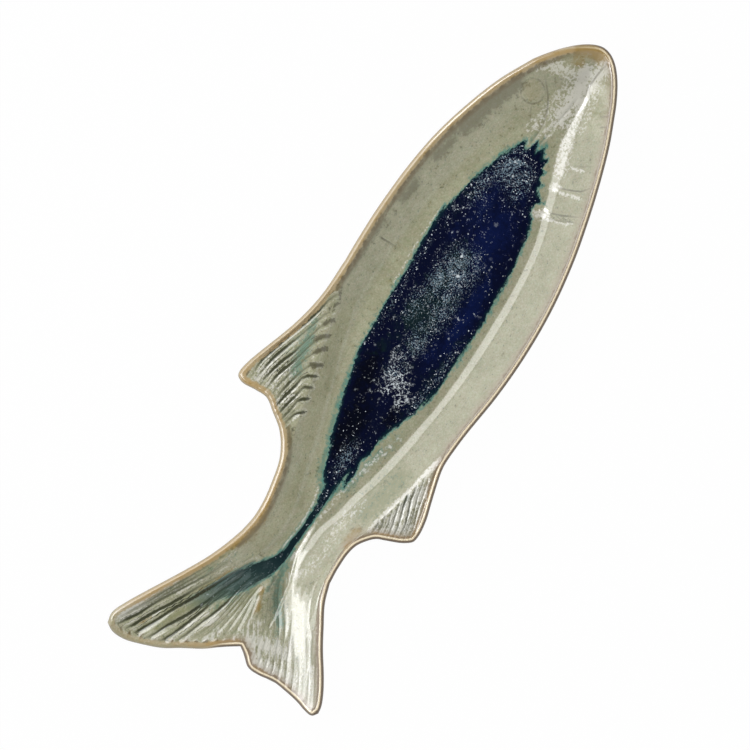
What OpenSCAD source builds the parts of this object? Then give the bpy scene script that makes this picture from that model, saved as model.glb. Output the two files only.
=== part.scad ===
// Fish shaped serving platter: one press-moulded stoneware dish with fins and a rayed tail,
// a foot ring luted under its floor, and three coats of glaze fired on to the clay.
// x runs from the tail to the nose, y from the belly to the back, z up from the table.

/* [Overall] */
// Length from the tail tip to the nose
overall_length = 500; // [420:5:600]
// Width of the body from belly to back, fins left out
body_width = 135.5; // [115:0.5:160]
// Narrowest width, just in front of the tail
waist_width = 65.5; // [52:0.5:80]
// Height of the rim at the nose and the tail
rim_height = 30; // [25:1:42]
// How far the rim dips between the nose and the tail
rim_sheer = 2; // [0:0.5:4]

/* [Clay] */
// Thickness of the wall, rounded over at the rim
wall_thickness = 5.5; // [4:0.25:7.5]
// Thickness of the flat floor
floor_thickness = 6; // [4.5:0.25:8]
// Plan width of the sloping wall at the middle of the body
wall_run = 27; // [20:0.5:34]

/* [Foot ring] */
// Height of the foot ring
foot_height = 5; // [3:0.5:8]
// Width of the clay of the foot ring
foot_width = 7; // [4:0.5:10]
// How far the ring stands in from the edge of the flat floor
foot_inset = 2.5; // [1:0.5:5]

/* [Tail] */
// Length of the tail behind the waist
tail_length = 102.3; // [85:0.1:120]
// Width of the tail across the tips of its lobes
tail_span = 152; // [125:1:185]
// How far the middle of the trailing edge lies below the rim
tail_dip = 7; // [3:0.5:10]

/* [Fins] */
// Height of the dorsal fin above the line of the back
dorsal_rise = 44.5; // [28:0.5:56]
// How far the dorsal fin sweeps back
dorsal_sweep = 69.7; // [55:0.1:80]
// Height of the anal fin below the line of the belly
anal_rise = 22.4; // [14:0.1:30]
// How far the anal fin sweeps back
anal_sweep = 40.7; // [30:0.1:50]
// Depth of a fin's panel below its rim
panel_depth = 0.9; // [0:0.1:1.5]
// Number of rays pressed into the dorsal fin
ray_count = 11; // [7:1:14]
// Height of a ray's ridge above the panel
ray_relief = 0.8; // [0.3:0.1:1.2]
// Height of the gill ridges on the belly wall
gill_relief = 0.9; // [0:0.1:1.4]

/* [Glaze] */
// Thickness of the sage glaze, inside and underneath
glaze_thickness = 0.6; // [0.3:0.05:1]
// Greatest depth of the blue glaze lying in the well
pool_depth = 1.2; // [0.6:0.1:2]

/* [Hidden] */

// The lip is a half round as thick as the wall
lip_radius = wall_thickness / 2;
floor_top = foot_height + floor_thickness;

// Shares of a wall's run that its fillet takes to each side of where slope and floor would meet
fillet_share = 0.25;
slope_end_share = 1 / (1 + fillet_share);
wall_angle = atan2(rim_height - lip_radius - floor_top, wall_run * slope_end_share);
land = lip_radius * (1 + sin(wall_angle));
lip_drop = lip_radius * (1 - cos(wall_angle));

// Each row of a table of shares starts with a place along the overall length, from the tail tip.
// It goes on with the edge of the body as a share of its width, measured from the keel line,
// the run of the wall as a share of wall_run, and how far the glaze pool's edge lies
// from the foot of the wall to the middle of the floor.
waist_back_shares = [
    [0.204, 0.632, 0.86, 0.60],
    [0.228, 0.598, 0.86, 0.60],
    [0.257, 0.600, 0.86, 0.60],
    [0.290, 0.640, 0.85, 0.55],
    [0.323, 0.700, 0.85, 0.40]
];
body_back_shares = [
    [0.356, 0.366, 0.82, 0.22],
    [0.413, 0.416, 0.72, 0.12],
    [0.448, 0.447, 0.69, 0.12],
    [0.482, 0.483, 0.70, 0.13],
    [0.519, 0.522, 0.80, 0.14],
    [0.548, 0.546, 0.88, 0.14],
    [0.582, 0.555, 0.92, 0.14],
    [0.641, 0.555, 0.97, 0.12],
    [0.681, 0.548, 1.01, 0.10],
    [0.734, 0.530, 1.05, 0.08],
    [0.787, 0.497, 1.15, 0.10],
    [0.840, 0.442, 1.26, 0.30],
    [0.893, 0.368, 1.28, 0.42],
    [0.939, 0.278, 1.13, 0.40]
];
waist_belly_shares = [
    [0.204, 0.412, 0.74, 0.72],
    [0.228, 0.404, 0.76, 0.72],
    [0.257, 0.424, 0.82, 0.72],
    [0.290, 0.534, 0.95, 0.66]
];
body_belly_shares = [
    [0.319, 0.290, 1.00, 0.52],
    [0.350, 0.327, 1.03, 0.42],
    [0.383, 0.356, 1.04, 0.38],
    [0.416, 0.376, 1.02, 0.32],
    [0.449, 0.387, 0.95, 0.22],
    [0.469, 0.395, 0.91, 0.17],
    [0.535, 0.429, 0.97, 0.10],
    [0.601, 0.444, 1.02, 0.08],
    [0.668, 0.438, 1.00, 0.09],
    [0.734, 0.409, 0.98, 0.13],
    [0.787, 0.370, 1.08, 0.12],
    [0.840, 0.322, 1.14, 0.33],
    [0.893, 0.263, 1.05, 0.42],
    [0.939, 0.196, 0.66, 0.40]
];
// The middle of the floor, from the keel line, as a share of the body's width
spine_shares = [
    [0.204, 0.034], [0.270, 0.039], [0.336, 0.049], [0.402, 0.054], [0.469, 0.059],
    [0.601, 0.059], [0.734, 0.044], [0.813, 0.029], [0.866, 0.015], [0.939, -0.015]
];
// The rim's dip along the length, as a share of rim_sheer
sheer_shares = [[0, 0], [0.22, 1], [0.45, 0.8], [0.75, 0.3], [1, 0]];

// Nose: a rounded point around the front end of the floor
nose_height_share = 0.012;
nose_back_power_share = 0.6;
nose_belly_power_share = 0.48;
nose_run_share = 0.83;
// The wall leaves some floor: its greatest run as a share of the way to the middle
wall_limit_share = 0.8;

// Fins: a place along the root from its front, then the sweep and the rise of the outline there
dorsal_root_share = 0.3536;
dorsal_front_share = 0.5815;
dorsal_tip_share = 0.174;
dorsal_fin_shares = [
    [0, 0, 0], [0.05, 0.14, 0.05], [0.08, 0.28, 0.17], [0.11, 0.46, 0.38], [0.14, 0.70, 0.69],
    [0.16, 0.90, 0.92], [0.18, 0.99, 1], [0.20, 0.99, 0.91], [0.25, 0.86, 0.69], [0.32, 0.69, 0.48],
    [0.41, 0.55, 0.32], [0.50, 0.41, 0.17], [0.55, 0.35, 0.10], [0.60, 0.29, 0.05],
    [0.69, 0.19, 0], [0.82, 0.10, 0], [1, 0, 0]
];
anal_root_share = 0.249;
anal_front_share = 0.4689;
anal_tip_share = 0.295;
anal_fin_shares = [
    [0, 0, 0], [0.05, 0.13, 0], [0.10, 0.27, 0.01], [0.13, 0.35, 0.07], [0.17, 0.47, 0.24],
    [0.21, 0.63, 0.48], [0.25, 0.82, 0.78], [0.28, 0.94, 0.95], [0.31, 1, 1], [0.34, 0.98, 0.92],
    [0.40, 0.87, 0.74], [0.47, 0.71, 0.53], [0.53, 0.57, 0.35], [0.58, 0.46, 0.18],
    [0.63, 0.38, 0.08], [0.71, 0.29, 0], [0.82, 0.16, 0], [1, 0, 0]
];
// A ray leaves the root steeply and then bends back: where its bend lies
bend_along_share = 0.1;
bend_out_share = 0.35;
// Rows bend from this share of a root behind the fin's tip; a panel starts where the fin
// stands out by more than this share of the land at the rim
bend_start_share = 0.08;
panel_start_share = 0.2;

// Tail: points behind the waist as shares of tail_length and, from the keel line, of tail_span
upper_side_shares = [
    [0.957, 0.565], [0.880, 0.571], [0.777, 0.540], [0.647, 0.490], [0.518, 0.438],
    [0.388, 0.387], [0.259, 0.340], [0.129, 0.302]
];
upper_end_shares = [
    [0.957, 0.565], [0.994, 0.523], [1, 0.466], [0.978, 0.403], [0.926, 0.307],
    [0.857, 0.229], [0.790, 0.148], [0.718, 0.083], [0.652, 0.015]
];
lower_side_shares = [
    [0.757, -0.427], [0.699, -0.421], [0.615, -0.396], [0.518, -0.358], [0.388, -0.301],
    [0.259, -0.252], [0.129, -0.205]
];
lower_end_shares = [
    [0.757, -0.427], [0.793, -0.405], [0.788, -0.366], [0.767, -0.318], [0.748, -0.248],
    [0.738, -0.187], [0.751, -0.118], [0.743, -0.061], [0.686, -0.017], [0.652, 0.015]
];
// How far the surface dips below the rim from a lobe's side to the notch, as shares of tail_dip
dip_shares = [
    [0, 0], [0.07, 0], [0.14, 0.06], [0.22, 0.35], [0.29, 0.65], [0.36, 0.85], [0.43, 1], [1, 1]
];
// Rays of the tail are full up to this share of their length and fade out over the next
tail_ray_share = 0.5;
tail_fade_share = 0.4;

// Rows of points run from the rim to the middle of the floor, at these shares of each stretch
lip_angles = [0, 45, 90];
lip_columns = len(lip_angles);
under_angles = [0, 30];
panel_shares = [0.25, 0.5, 0.75, 1];
panel_sink_shares = [1, 1, 1, 0.3];
panel_ray_shares = [1, 1, 1, 0.5];
wall_shares = [0.25, 0.5, 0.7, 0.86, 1];
under_shares = [0.2, 0.42, 0.7];
spine_column = 14;
row_start_shares = [0, 0.03, 0.06];

// Number of rows in each stretch of the outline
tail_rows = 14;
fin_rows = 4 * ray_count + 4;
nose_rows = 7;
front_shares = [
    0.608, 0.641, 0.674, 0.707, 0.740, 0.767, 0.775, 0.783, 0.803, 0.811, 0.819,
    0.841, 0.849, 0.857, 0.882, 0.911, 0.939
];
gill_rows = [6, 9, 12];

function clamp(v, low, high) = min(max(v, low), high);
function lerp(a, b, t) = a + (b - a) * t;
function ease(t) = let (u = clamp(t, 0, 1)) u * u * (3 - 2 * u);
function unit(v) = v / norm(v);
function right(v) = [v.y, -v.x];
function flat(p) = [p.x, p.y];

// Smooth reading of column c of a table at x
function span(table, x, i = 0) =
    i >= len(table) - 2 || x < table[i + 1][0] ? i : span(table, x, i + 1);
function steepness(table, i, c) =
    let (a = table[max(i - 1, 0)], b = table[min(i + 1, len(table) - 1)])
    (b[c] - a[c]) / (b[0] - a[0]);
function read(table, x, c = 1) =
    let (
        i = span(table, x),
        w = table[i + 1][0] - table[i][0],
        t = clamp((x - table[i][0]) / w, 0, 1),
        e = ease(t),
        rise_in = steepness(table, i, c) * w * t * (1 - t) * (1 - t),
        rise_out = steepness(table, i + 1, c) * w * t * t * (1 - t)
    )
    lerp(table[i][c], table[i + 1][c], e) + rise_in - rise_out;

// Smooth path through points, t from 0 to 1
function path(points, t) =
    let (
        last = len(points) - 1,
        i = min(floor(t * last), last - 1),
        f = t * last - i,
        b = points[i],
        c = points[i + 1],
        a = i > 0 ? points[i - 1] : 2 * b - c,
        d = i + 2 <= last ? points[i + 2] : 2 * c - b
    )
    b + f * ((c - a) / 2 + f * (a - 2.5 * b + 2 * c - d / 2 + f * (1.5 * (b - c) + (d - a) / 2)));

// A table of shares turned into sizes
function sized(shares, width) = [
    for (s = shares) [s[0] * overall_length, s[1] * width, s[2] * wall_run, s[3]]
];
back_table = concat(sized(waist_back_shares, waist_width), sized(body_back_shares, body_width));
belly_table = concat(sized(waist_belly_shares, waist_width), sized(body_belly_shares, body_width));
spine_table = [for (s = spine_shares) [s[0] * overall_length, s[1] * body_width]];
sheer_table = [for (s = sheer_shares) [s[0] * overall_length, s[1] * rim_sheer]];
function edge_table(side) = side > 0 ? back_table : belly_table;
function rim_at(x) = rim_height - read(sheer_table, clamp(x, 0, overall_length));

// Rows: the tail's first, then one for each place along the body, then a fan round the nose
waist_x = waist_back_shares[0][0] * overall_length;
focus_x = front_shares[len(front_shares) - 1] * overall_length;
fins_front = dorsal_front_share * overall_length;
body_x = concat(
    [for (i = [0:fin_rows]) lerp(waist_x, fins_front, i / fin_rows)],
    [for (s = front_shares) s * overall_length]
);
focus_row = tail_rows + len(body_x) - 1;
nose_row = focus_row + nose_rows;
row_total = 2 * nose_row + 1;

// Going round the outline: up the back to the nose, and down the belly to the tail again
function side_of(i) = i <= nose_row ? 1 : -1;
function row_of(i) = i <= nose_row ? i : 2 * nose_row - i;

function fin_place(side, x) =
    side > 0 ? (fins_front - x) / (dorsal_root_share * overall_length)
             : (anal_front_share * overall_length - x) / (anal_root_share * overall_length);
function fin_table(side) = side > 0 ? dorsal_fin_shares : anal_fin_shares;
function root_tip_share(side) = side > 0 ? dorsal_tip_share : anal_tip_share;
function fin_sweep(side) = side > 0 ? dorsal_sweep : anal_sweep;
function fin_rise(side) = side > 0 ? dorsal_rise : anal_rise;
function in_fin(side, x) = let (p = fin_place(side, x)) p > 0 && p < 1;

function body_edge(side, x) = [x, side * read(edge_table(side), x)];
function fin_edge(side, x) =
    let (
        p = fin_place(side, x),
        swept = x - fin_sweep(side) * read(fin_table(side), p, 1),
        risen = fin_rise(side) * read(fin_table(side), p, 2)
    )
    body_edge(side, swept) + [0, side * risen];

focus = [focus_x, read(spine_table, focus_x)];
nose_y = nose_height_share * body_width;
function nose_edge(side, t) =
    let (
        s = 1 - (1 - t) * (1 - t),
        start = body_edge(side, focus_x),
        power = side > 0 ? nose_back_power_share : nose_belly_power_share
    )
    [lerp(focus_x, overall_length, s), nose_y + (start.y - nose_y) * pow(1 - s, power)];

// The tail's outline: a lobe's side from its corner to the waist, and its end to the notch
function tail_points(shares) = [
    for (s = shares) [waist_x - s[0] * tail_length, s[1] * tail_span]
];
upper_side = concat(tail_points(upper_side_shares), [body_edge(1, waist_x)]);
lower_side = concat(tail_points(lower_side_shares), [body_edge(-1, waist_x)]);
upper_end = tail_points(upper_end_shares);
lower_end = tail_points(lower_end_shares);
function lobe_side(side) = side > 0 ? upper_side : lower_side;
function lobe_end(side) = side > 0 ? upper_end : lower_end;
function started(i, last) =
    i < len(row_start_shares) ? row_start_shares[i]
        : lerp(row_start_shares[2], 1, (i - 2) / (last - 2));
function side_share(row) = started(row, tail_rows);
function end_share(column) = started(column, spine_column);
function end_point(side, column) = path(lobe_end(side), end_share(column));

function edge_point(side, row) =
    row < tail_rows ? path(lobe_side(side), side_share(row))
    : row > focus_row ? nose_edge(side, (row - focus_row) / nose_rows)
    : let (x = body_x[row - tail_rows]) in_fin(side, x) ? fin_edge(side, x) : body_edge(side, x);
outline = [for (i = [0:row_total - 1]) edge_point(side_of(i), row_of(i))];
function edge_normal(i) =
    let (
        before = i == 0 ? end_point(1, 1) : outline[i - 1],
        after = i == row_total - 1 ? end_point(-1, 1) : outline[i + 1]
    )
    unit(right(after - before));
normals = [for (i = [0:row_total - 1]) edge_normal(i)];

// Share of its height that the wall still has at w, from its top to its foot
function wall_height(w) =
    let (a = 1 - w / slope_end_share)
    a > fillet_share ? a
    : a < -fillet_share ? 0
    : (a + fillet_share) * (a + fillet_share) / (4 * fillet_share);
function wall_steepness(w) =
    let (a = 1 - w / slope_end_share)
    clamp((a + fillet_share) / (2 * fillet_share), 0, 1) / slope_end_share;

// What one row of the body or the nose is built on
// [edge, normal, root, foot of wall, pool edge, middle, rim height, panel share, bend,
// ray relief, gill relief]
function frame_of(i) =
    let (
        side = side_of(i),
        row = row_of(i),
        on_nose = row > focus_row,
        x = on_nose ? focus_x : body_x[row - tail_rows],
        fan = on_nose ? (row - focus_row) / nose_rows : 0,
        edge = outline[i],
        normal = normals[i],
        step = lip_radius / 2,
        tangent = body_edge(side, x + step) - body_edge(side, x - step),
        base = on_nose ? edge : body_edge(side, x),
        inward = on_nose ? normal : unit(right(side * tangent)),
        root = base + inward * land,
        middle = on_nose ? focus : [x, read(spine_table, x)],
        table = edge_table(side),
        run = lerp(read(table, x, 2), nose_run_share * wall_run, fan),
        gap = norm(middle - root),
        foot = root + unit(middle - root) * min(run, gap * wall_limit_share),
        shelf = fin_rise(side) * read(fin_table(side), fin_place(side, x), 2),
        panel = in_fin(side, x) && !on_nose ? clamp(shelf / land - panel_start_share, 0, 1) : 0,
        past_tip = ease((fin_place(side, x) - root_tip_share(side)) / bend_start_share),
        gill = side < 0 && len([for (g = gill_rows) if (row - tail_rows - fin_rows - 1 == g) g]) > 0,
        ray = (row % 2 == 0 ? 1 : -1) * ray_relief * panel * past_tip
    )
    [edge, normal, root, foot, lerp(foot, middle, read(table, x, 3)), middle,
     rim_at(on_nose ? edge.x : x), panel, past_tip, ray, gill ? gill_relief : 0];

// A panel's row bends from the lip to the root
function bent(from, to, bend, t) =
    let (
        straight = lerp(from, to, 0.5),
        corner = [lerp(to.x, from.x, bend_along_share), lerp(to.y, from.y, bend_out_share)],
        middle = lerp(straight, corner, bend)
    )
    lerp(lerp(from, middle, t), lerp(middle, to, t), t);

function at(p, z) = [p.x, p.y, z];
function lip_point(edge, normal, rim, coat, angle) =
    at(edge + normal * (lip_radius - (lip_radius - coat) * cos(angle)),
       rim - lip_radius + (lip_radius - coat) * sin(angle));

// Points of a row over the top, from the edge to the middle; coat lowers them into the glaze
function top_row(i, coat) =
    let (
        f = frame_of(i),
        rim = f[6],
        wall_top = rim - lip_drop,
        lip_in = f[0] + f[1] * lip_radius
    )
    concat(
        [for (a = lip_angles) lip_point(f[0], f[1], rim, coat, a)],
        [for (k = [0:len(panel_shares) - 1])
            let (
                t = panel_shares[k],
                sink = panel_sink_shares[k] * f[7] * panel_depth,
                relief = panel_ray_shares[k] * f[9]
            )
            at(bent(lip_in, f[2], f[8], t),
               rim - lip_radius * (1 - cos(t * wall_angle)) - sink + relief - coat)],
        [for (w = wall_shares)
            at(lerp(f[2], f[3], w),
               floor_top + (wall_top - floor_top) * wall_height(w)
               + f[10] * sin(180 * w) - coat)],
        [for (p = [f[4], lerp(f[4], f[5], 0.5), f[5]]) at(p, floor_top - coat)]
    );

// The wall's underside, square off the wall's slope by its thickness
function under_wall(f, w, coat) =
    let (
        wall_top = f[6] - lip_drop,
        run = norm(f[3] - f[2]),
        slope = atan((wall_top - floor_top) / run * wall_steepness(w)),
        thick = lerp(wall_thickness, floor_thickness, w),
        height = floor_top + (wall_top - floor_top) * wall_height(w)
    )
    at(lerp(f[2], f[3], w) - unit(f[3] - f[2]) * thick * sin(slope), height - thick * cos(slope) + coat);

function under_row(i, coat) =
    let (f = frame_of(i), turn = -90 + wall_angle * (1 - f[7]))
    concat(
        [for (a = under_angles) lip_point(f[0], f[1], f[6], coat, -a)],
        [lip_point(f[0], f[1], f[6], coat, turn)],
        [for (w = under_shares) under_wall(f, w, coat)],
        [for (p = [f[3], f[5]]) at(p, foot_height)]
    );

// The tail is a sheet stretched between the waist's row, the lobe's side and the trailing edge
function dip_at(column) = tail_dip * read(dip_shares, column / spine_column);
function end_normal(side, column) =
    column == spine_column ? [1, 0]
    : column == 0 ? normals[side > 0 ? 0 : row_total - 1]
    : unit(side * right(end_point(side, column - 1) - end_point(side, column + 1)));
function tail_ray(column, t) =
    column < lip_columns || column == spine_column ? 0
    : (column % 2 == 0 ? -1 : 1) * ray_relief
      * clamp((tail_ray_share + tail_fade_share - t) / tail_fade_share, 0, 1);
function end_height(column) = rim_height - dip_at(column);

function tail_frame(i) =
    let (row = row_of(i), t = (side_share(row) - row_start_shares[2]) / (1 - row_start_shares[2]))
    [side_of(i), row, clamp(t, 0, 1)];

// column is counted as on the top, where the waist's own row gives the point that it runs to
function tail_point(i, column, waist, waist_lip, waist_spine, relief, coat, up) =
    let (
        f = tail_frame(i),
        side = f[0],
        t = f[2],
        inner = end_point(side, column) + end_normal(side, column) * lip_radius,
        inner_lip = end_point(side, 2) + end_normal(side, 2) * lip_radius,
        lip_now = outline[i] + normals[i] * lip_radius,
        share_end = column / spine_column,
        share_waist = norm(flat(waist) - flat(waist_lip)) / norm(flat(waist_spine) - flat(waist_lip)),
        share = lerp(share_end, share_waist, t),
        pull = lip_now - lerp(inner_lip, flat(waist_lip), t),
        height_end = end_height(column) + (up ? -coat : coat - wall_thickness)
    )
    at(lerp(inner, flat(waist), t) + pull * (1 - share), lerp(height_end, waist.z, ease(t)) + relief);

function end_lip(side, column, coat, angle) =
    lip_point(end_point(side, column), end_normal(side, column),
              end_height(column) + tail_ray(column, 0), coat, angle);

function tail_top_row(i, coat, waist) =
    let (f = tail_frame(i), rim = lerp(rim_height, rim_at(waist_x), ease(f[2])))
    [for (k = [0:spine_column])
        let (ring = min(k, f[1]))
        f[1] < lip_columns && k >= f[1] ? end_lip(f[0], k, coat, lip_angles[ring])
        : k < lip_columns ? lip_point(outline[i], normals[i], rim, coat, lip_angles[ring])
        : tail_point(i, k, waist[k], waist[lip_columns - 1], waist[spine_column],
                     tail_ray(k, f[2]), coat, true)];

function tail_under_row(i, coat, waist) =
    let (
        f = tail_frame(i),
        rim = lerp(rim_height, rim_at(waist_x), ease(f[2])),
        last = len(waist) - 1,
        angles = [
            0,
            -lerp(lip_angles[1], under_angles[1], f[2]),
            -lerp(lip_angles[2], 90 - wall_angle, f[2])
        ]
    )
    [for (k = [0:last])
        let (ring = min(k, f[1]))
        f[1] < lip_columns && k >= f[1] ? end_lip(f[0], 2 * k, coat, -lip_angles[ring])
        : k < lip_columns ? lip_point(outline[i], normals[i], rim, coat, angles[ring])
        : tail_point(i, 2 * k, waist[k], waist[lip_columns - 1], waist[last], 0, coat, false)];

// All rows of the upper and of the lower surface, round the outline
function top_rows(coat) =
    let (up = top_row(tail_rows, coat), down = top_row(row_total - 1 - tail_rows, coat))
    [for (i = [0:row_total - 1])
        row_of(i) < tail_rows ? tail_top_row(i, coat, side_of(i) > 0 ? up : down)
                              : top_row(i, coat)];
function under_rows(coat) =
    let (
        up = under_row(tail_rows, coat),
        down = under_row(row_total - 1 - tail_rows, coat)
    )
    [for (i = [0:row_total - 1])
        row_of(i) < tail_rows ? tail_under_row(i, coat, side_of(i) > 0 ? up : down)
                              : under_row(i, coat)];

// Triangles over rows of points, leaving out those that shrink to a line
function proper(triangles) = [
    for (t = triangles) if (t[0] != t[1] && t[1] != t[2] && t[2] != t[0]) t
];
function flipped(triangles) = [for (t = triangles) [t[2], t[1], t[0]]];
// A cell between two rows is split along the diagonal that keeps it fairest in plan
function plan_turn(a, b, c) = cross(flat(b) - flat(a), flat(c) - flat(a));
function split(a, b, c, d) =
    max(plan_turn(a, b, c), plan_turn(a, c, d)) <= max(plan_turn(a, b, d), plan_turn(b, c, d))
        ? [[a, b, c], [a, c, d]]
        : [[a, b, d], [b, c, d]];
function sheet(rows, stop = undef) = proper([
    for (i = [0:len(rows) - 2])
        let (last = is_undef(stop) ? len(rows[i]) - 1 : stop)
        for (k = [0:last - 1])
            each split(rows[i][k], rows[i + 1][k], rows[i + 1][k + 1], rows[i][k + 1])
]);
// A trailing edge has every column of the top, the row inside it below only every second
function stitch(fine, coarse) = proper([
    for (k = [0:len(coarse) - 2])
        let (m = fine[2 * k + 1], d = coarse[k + 1])
        each [[fine[2 * k], coarse[k], d], [fine[2 * k], d, m], [m, d, fine[2 * k + 2]]]
]);
function under_sheet(rows, upper, stop) =
    let (last = len(rows) - 1)
    concat(
        stitch(upper[0], rows[1]),
        flipped(stitch(upper[last], rows[last - 1])),
        sheet([for (i = [1:tail_rows]) rows[i]]),
        sheet([for (i = [tail_rows:last - tail_rows]) rows[i]], stop),
        sheet([for (i = [last - tail_rows:last - 1]) rows[i]])
    );
function ribbon(outer, inner) = proper([
    for (i = [0:len(outer) - 1])
        let (j = (i + 1) % len(outer))
        each [[outer[j], outer[i], inner[i]], [outer[j], inner[i], inner[j]]]
]);
function rim_ring(rows) =
    let (last = len(rows) - 1)
    concat(
        [for (row = rows) row[0]],
        [for (k = [1:spine_column]) rows[last][k]],
        [for (k = [1:spine_column - 1]) rows[0][spine_column - k]]
    );

module shell(triangles) {
    polyhedron(
        points = [for (t = triangles) each t],
        faces = [for (i = [0:len(triangles) - 1]) [3 * i, 3 * i + 1, 3 * i + 2]]
    );
}

glaze_top = top_rows(0);
clay_top = top_rows(glaze_thickness);
glaze_under = under_rows(0);
clay_under = under_rows(glaze_thickness);

// The platter is drawn about the middle of its outline
ends = [for (k = [0:spine_column]) each [end_point(1, k), end_point(-1, k)]];
outline_x = [for (p = concat(outline, ends)) p.x];
outline_y = [for (p = concat(outline, ends)) p.y];
centre = [(min(outline_x) + max(outline_x)) / 2, (min(outline_y) + max(outline_y)) / 2, 0];
module placed() {
    translate(-centre) children();
}

module stoneware_body() {
    color("tan") placed()
        shell(concat(sheet(clay_top), flipped(under_sheet(clay_under, clay_top))));
}

// Foot ring: follows the flat floor, drawn in from it, with rounded ends
foot_clear_share = 0.14;
foot_back = waist_x + foot_clear_share * (focus_x - waist_x);
foot_front = focus_x - foot_clear_share * (focus_x - waist_x);
foot_steps = 96;
function floor_edge(side, x) =
    let (
        edge = body_edge(side, x),
        middle = [x, read(spine_table, x)],
        gap = norm(middle - edge) - land
    )
    edge.y - side * (land + min(read(edge_table(side), x, 2), gap * wall_limit_share));
function foot_outline(inset) = [
    for (n = [0:foot_steps - 1])
        let (
            turn = 360 * n / foot_steps,
            x = lerp(foot_back + inset, foot_front - inset, (1 + cos(turn)) / 2),
            high = floor_edge(1, x) - inset,
            low = floor_edge(-1, x) + inset,
            bulge = sign(sin(turn)) * sqrt(abs(sin(turn)))
        )
        [x, (high + low) / 2 + (high - low) / 2 * bulge]
];
module foot_ring() {
    color("peru") placed() linear_extrude(foot_height) difference() {
        polygon(foot_outline(foot_inset));
        polygon(foot_outline(foot_inset + foot_width));
    }
}

module sage_glaze() {
    color("darkseagreen") placed()
        shell(concat(
            flipped(sheet(glaze_top)),
            sheet(clay_top),
            ribbon(rim_ring(clay_top), rim_ring(glaze_top))
        ));
}

// Blue glaze: lies on the sage glaze, between its edge columns on both sides
pool_column = 12;
pool_first = tail_rows + 6;
pool_last = focus_row - 3;
pool_depth_shares = [0.2, 0.85, 1, 0.85, 0.2];
pool_end_share = 0.25;
pool_end_rows = 5;
function pool_row(row, lift) =
    let (
        back = glaze_top[row],
        belly = glaze_top[row_total - 1 - row],
        along = min(row - pool_first, pool_last - row),
        fill = lerp(pool_end_share, 1, ease(along / pool_end_rows)),
        points = [back[pool_column], back[pool_column + 1], back[spine_column],
                  belly[pool_column + 1], belly[pool_column]]
    )
    [for (k = [0:len(points) - 1]) points[k] + [0, 0, lift * fill * pool_depth_shares[k] * pool_depth]];
function pool_ring(rows) = concat(
    [for (row = rows) row[0]],
    [for (k = [1:len(rows[0]) - 1]) rows[len(rows) - 1][k]],
    [for (i = [1:len(rows) - 1]) rows[len(rows) - 1 - i][len(rows[0]) - 1]],
    [for (k = [1:len(rows[0]) - 2]) rows[0][len(rows[0]) - 1 - k]]
);
module blue_glaze_pool() {
    surface_rows = [for (row = [pool_first:pool_last]) pool_row(row, 1)];
    bed_rows = [for (row = [pool_first:pool_last]) pool_row(row, 0)];
    color("midnightblue") placed()
        shell(concat(
            sheet(surface_rows),
            flipped(sheet(bed_rows)),
            ribbon(pool_ring(surface_rows), pool_ring(bed_rows))
        ));
}

// Underside glaze: the whole tail and the walls, stopping short of the foot ring
bare_column = 5;
function glaze_line(rows) =
    let (last = len(rows) - 1, middle = len(rows[0]) - 1)
    concat(
        [for (k = [bare_column + 1:middle]) rows[tail_rows][middle + bare_column + 1 - k]],
        [for (i = [tail_rows:last - tail_rows]) rows[i][bare_column]],
        [for (k = [bare_column + 1:middle - 1]) rows[last - tail_rows][k]]
    );
module underside_glaze() {
    color("darkkhaki") placed()
        shell(concat(
            flipped(under_sheet(glaze_under, glaze_top, bare_column)),
            under_sheet(clay_under, clay_top, bare_column),
            flipped(ribbon(rim_ring(glaze_top), rim_ring(clay_top))),
            ribbon(glaze_line(glaze_under), glaze_line(clay_under))
        ));
}

stoneware_body();
foot_ring();
sage_glaze();
blue_glaze_pool();
underside_glaze();
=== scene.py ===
import bpy
import math
import numpy as np
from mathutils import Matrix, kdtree


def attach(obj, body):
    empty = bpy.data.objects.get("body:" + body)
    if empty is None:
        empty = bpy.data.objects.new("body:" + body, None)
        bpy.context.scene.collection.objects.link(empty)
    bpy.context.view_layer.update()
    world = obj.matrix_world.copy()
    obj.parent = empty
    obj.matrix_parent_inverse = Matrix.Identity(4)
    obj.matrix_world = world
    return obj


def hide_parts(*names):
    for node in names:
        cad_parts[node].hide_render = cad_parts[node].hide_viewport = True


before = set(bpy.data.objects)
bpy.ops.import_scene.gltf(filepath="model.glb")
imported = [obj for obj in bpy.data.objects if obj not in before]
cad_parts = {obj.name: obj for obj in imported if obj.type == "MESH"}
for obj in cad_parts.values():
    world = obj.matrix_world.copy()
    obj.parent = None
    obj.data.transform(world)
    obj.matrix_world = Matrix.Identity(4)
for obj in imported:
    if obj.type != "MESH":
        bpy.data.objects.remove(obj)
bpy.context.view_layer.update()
print("frame loaded")

# the dish is drawn here from the same curves as the CAD model, and the glaze from strokes on its face
# the dish's own sizes in millimetres, x from the tail tip, y from the keel line, z from the table
dish = {
    "length": 500.0, "bodyWidth": 135.5, "waistWidth": 65.5, "rimHeight": 30.0, "rimSheer": 2.0,
    "wall": 5.5, "floor": 6.0, "wallRun": 27.0, "wallLimit": 0.8, "foot": 5.0, "fillet": 0.25,
    "tailLength": 102.3, "tailSpan": 152.0, "tailDip": 7.0, "panelDepth": 0.9,
    "noseRun": 0.83, "noseHeight": 0.012, "noseBack": 0.6, "noseBelly": 0.48,
    "gillRelief": 1.0,
}
dorsal = {"rise": 44.5, "sweep": 69.7, "root": 0.3536, "front": 0.5815, "tip": 0.174}
anal = {"rise": 22.4, "sweep": 40.7, "root": 0.249, "front": 0.4689, "tip": 0.295}
pixel = 0.66225  # one pixel of the photograph in millimetres
notch = 53.6  # how many pixels the tail's notch lies ahead of its tips
lipShare = .06  # the share of the tail's side that its end's lip takes

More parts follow.
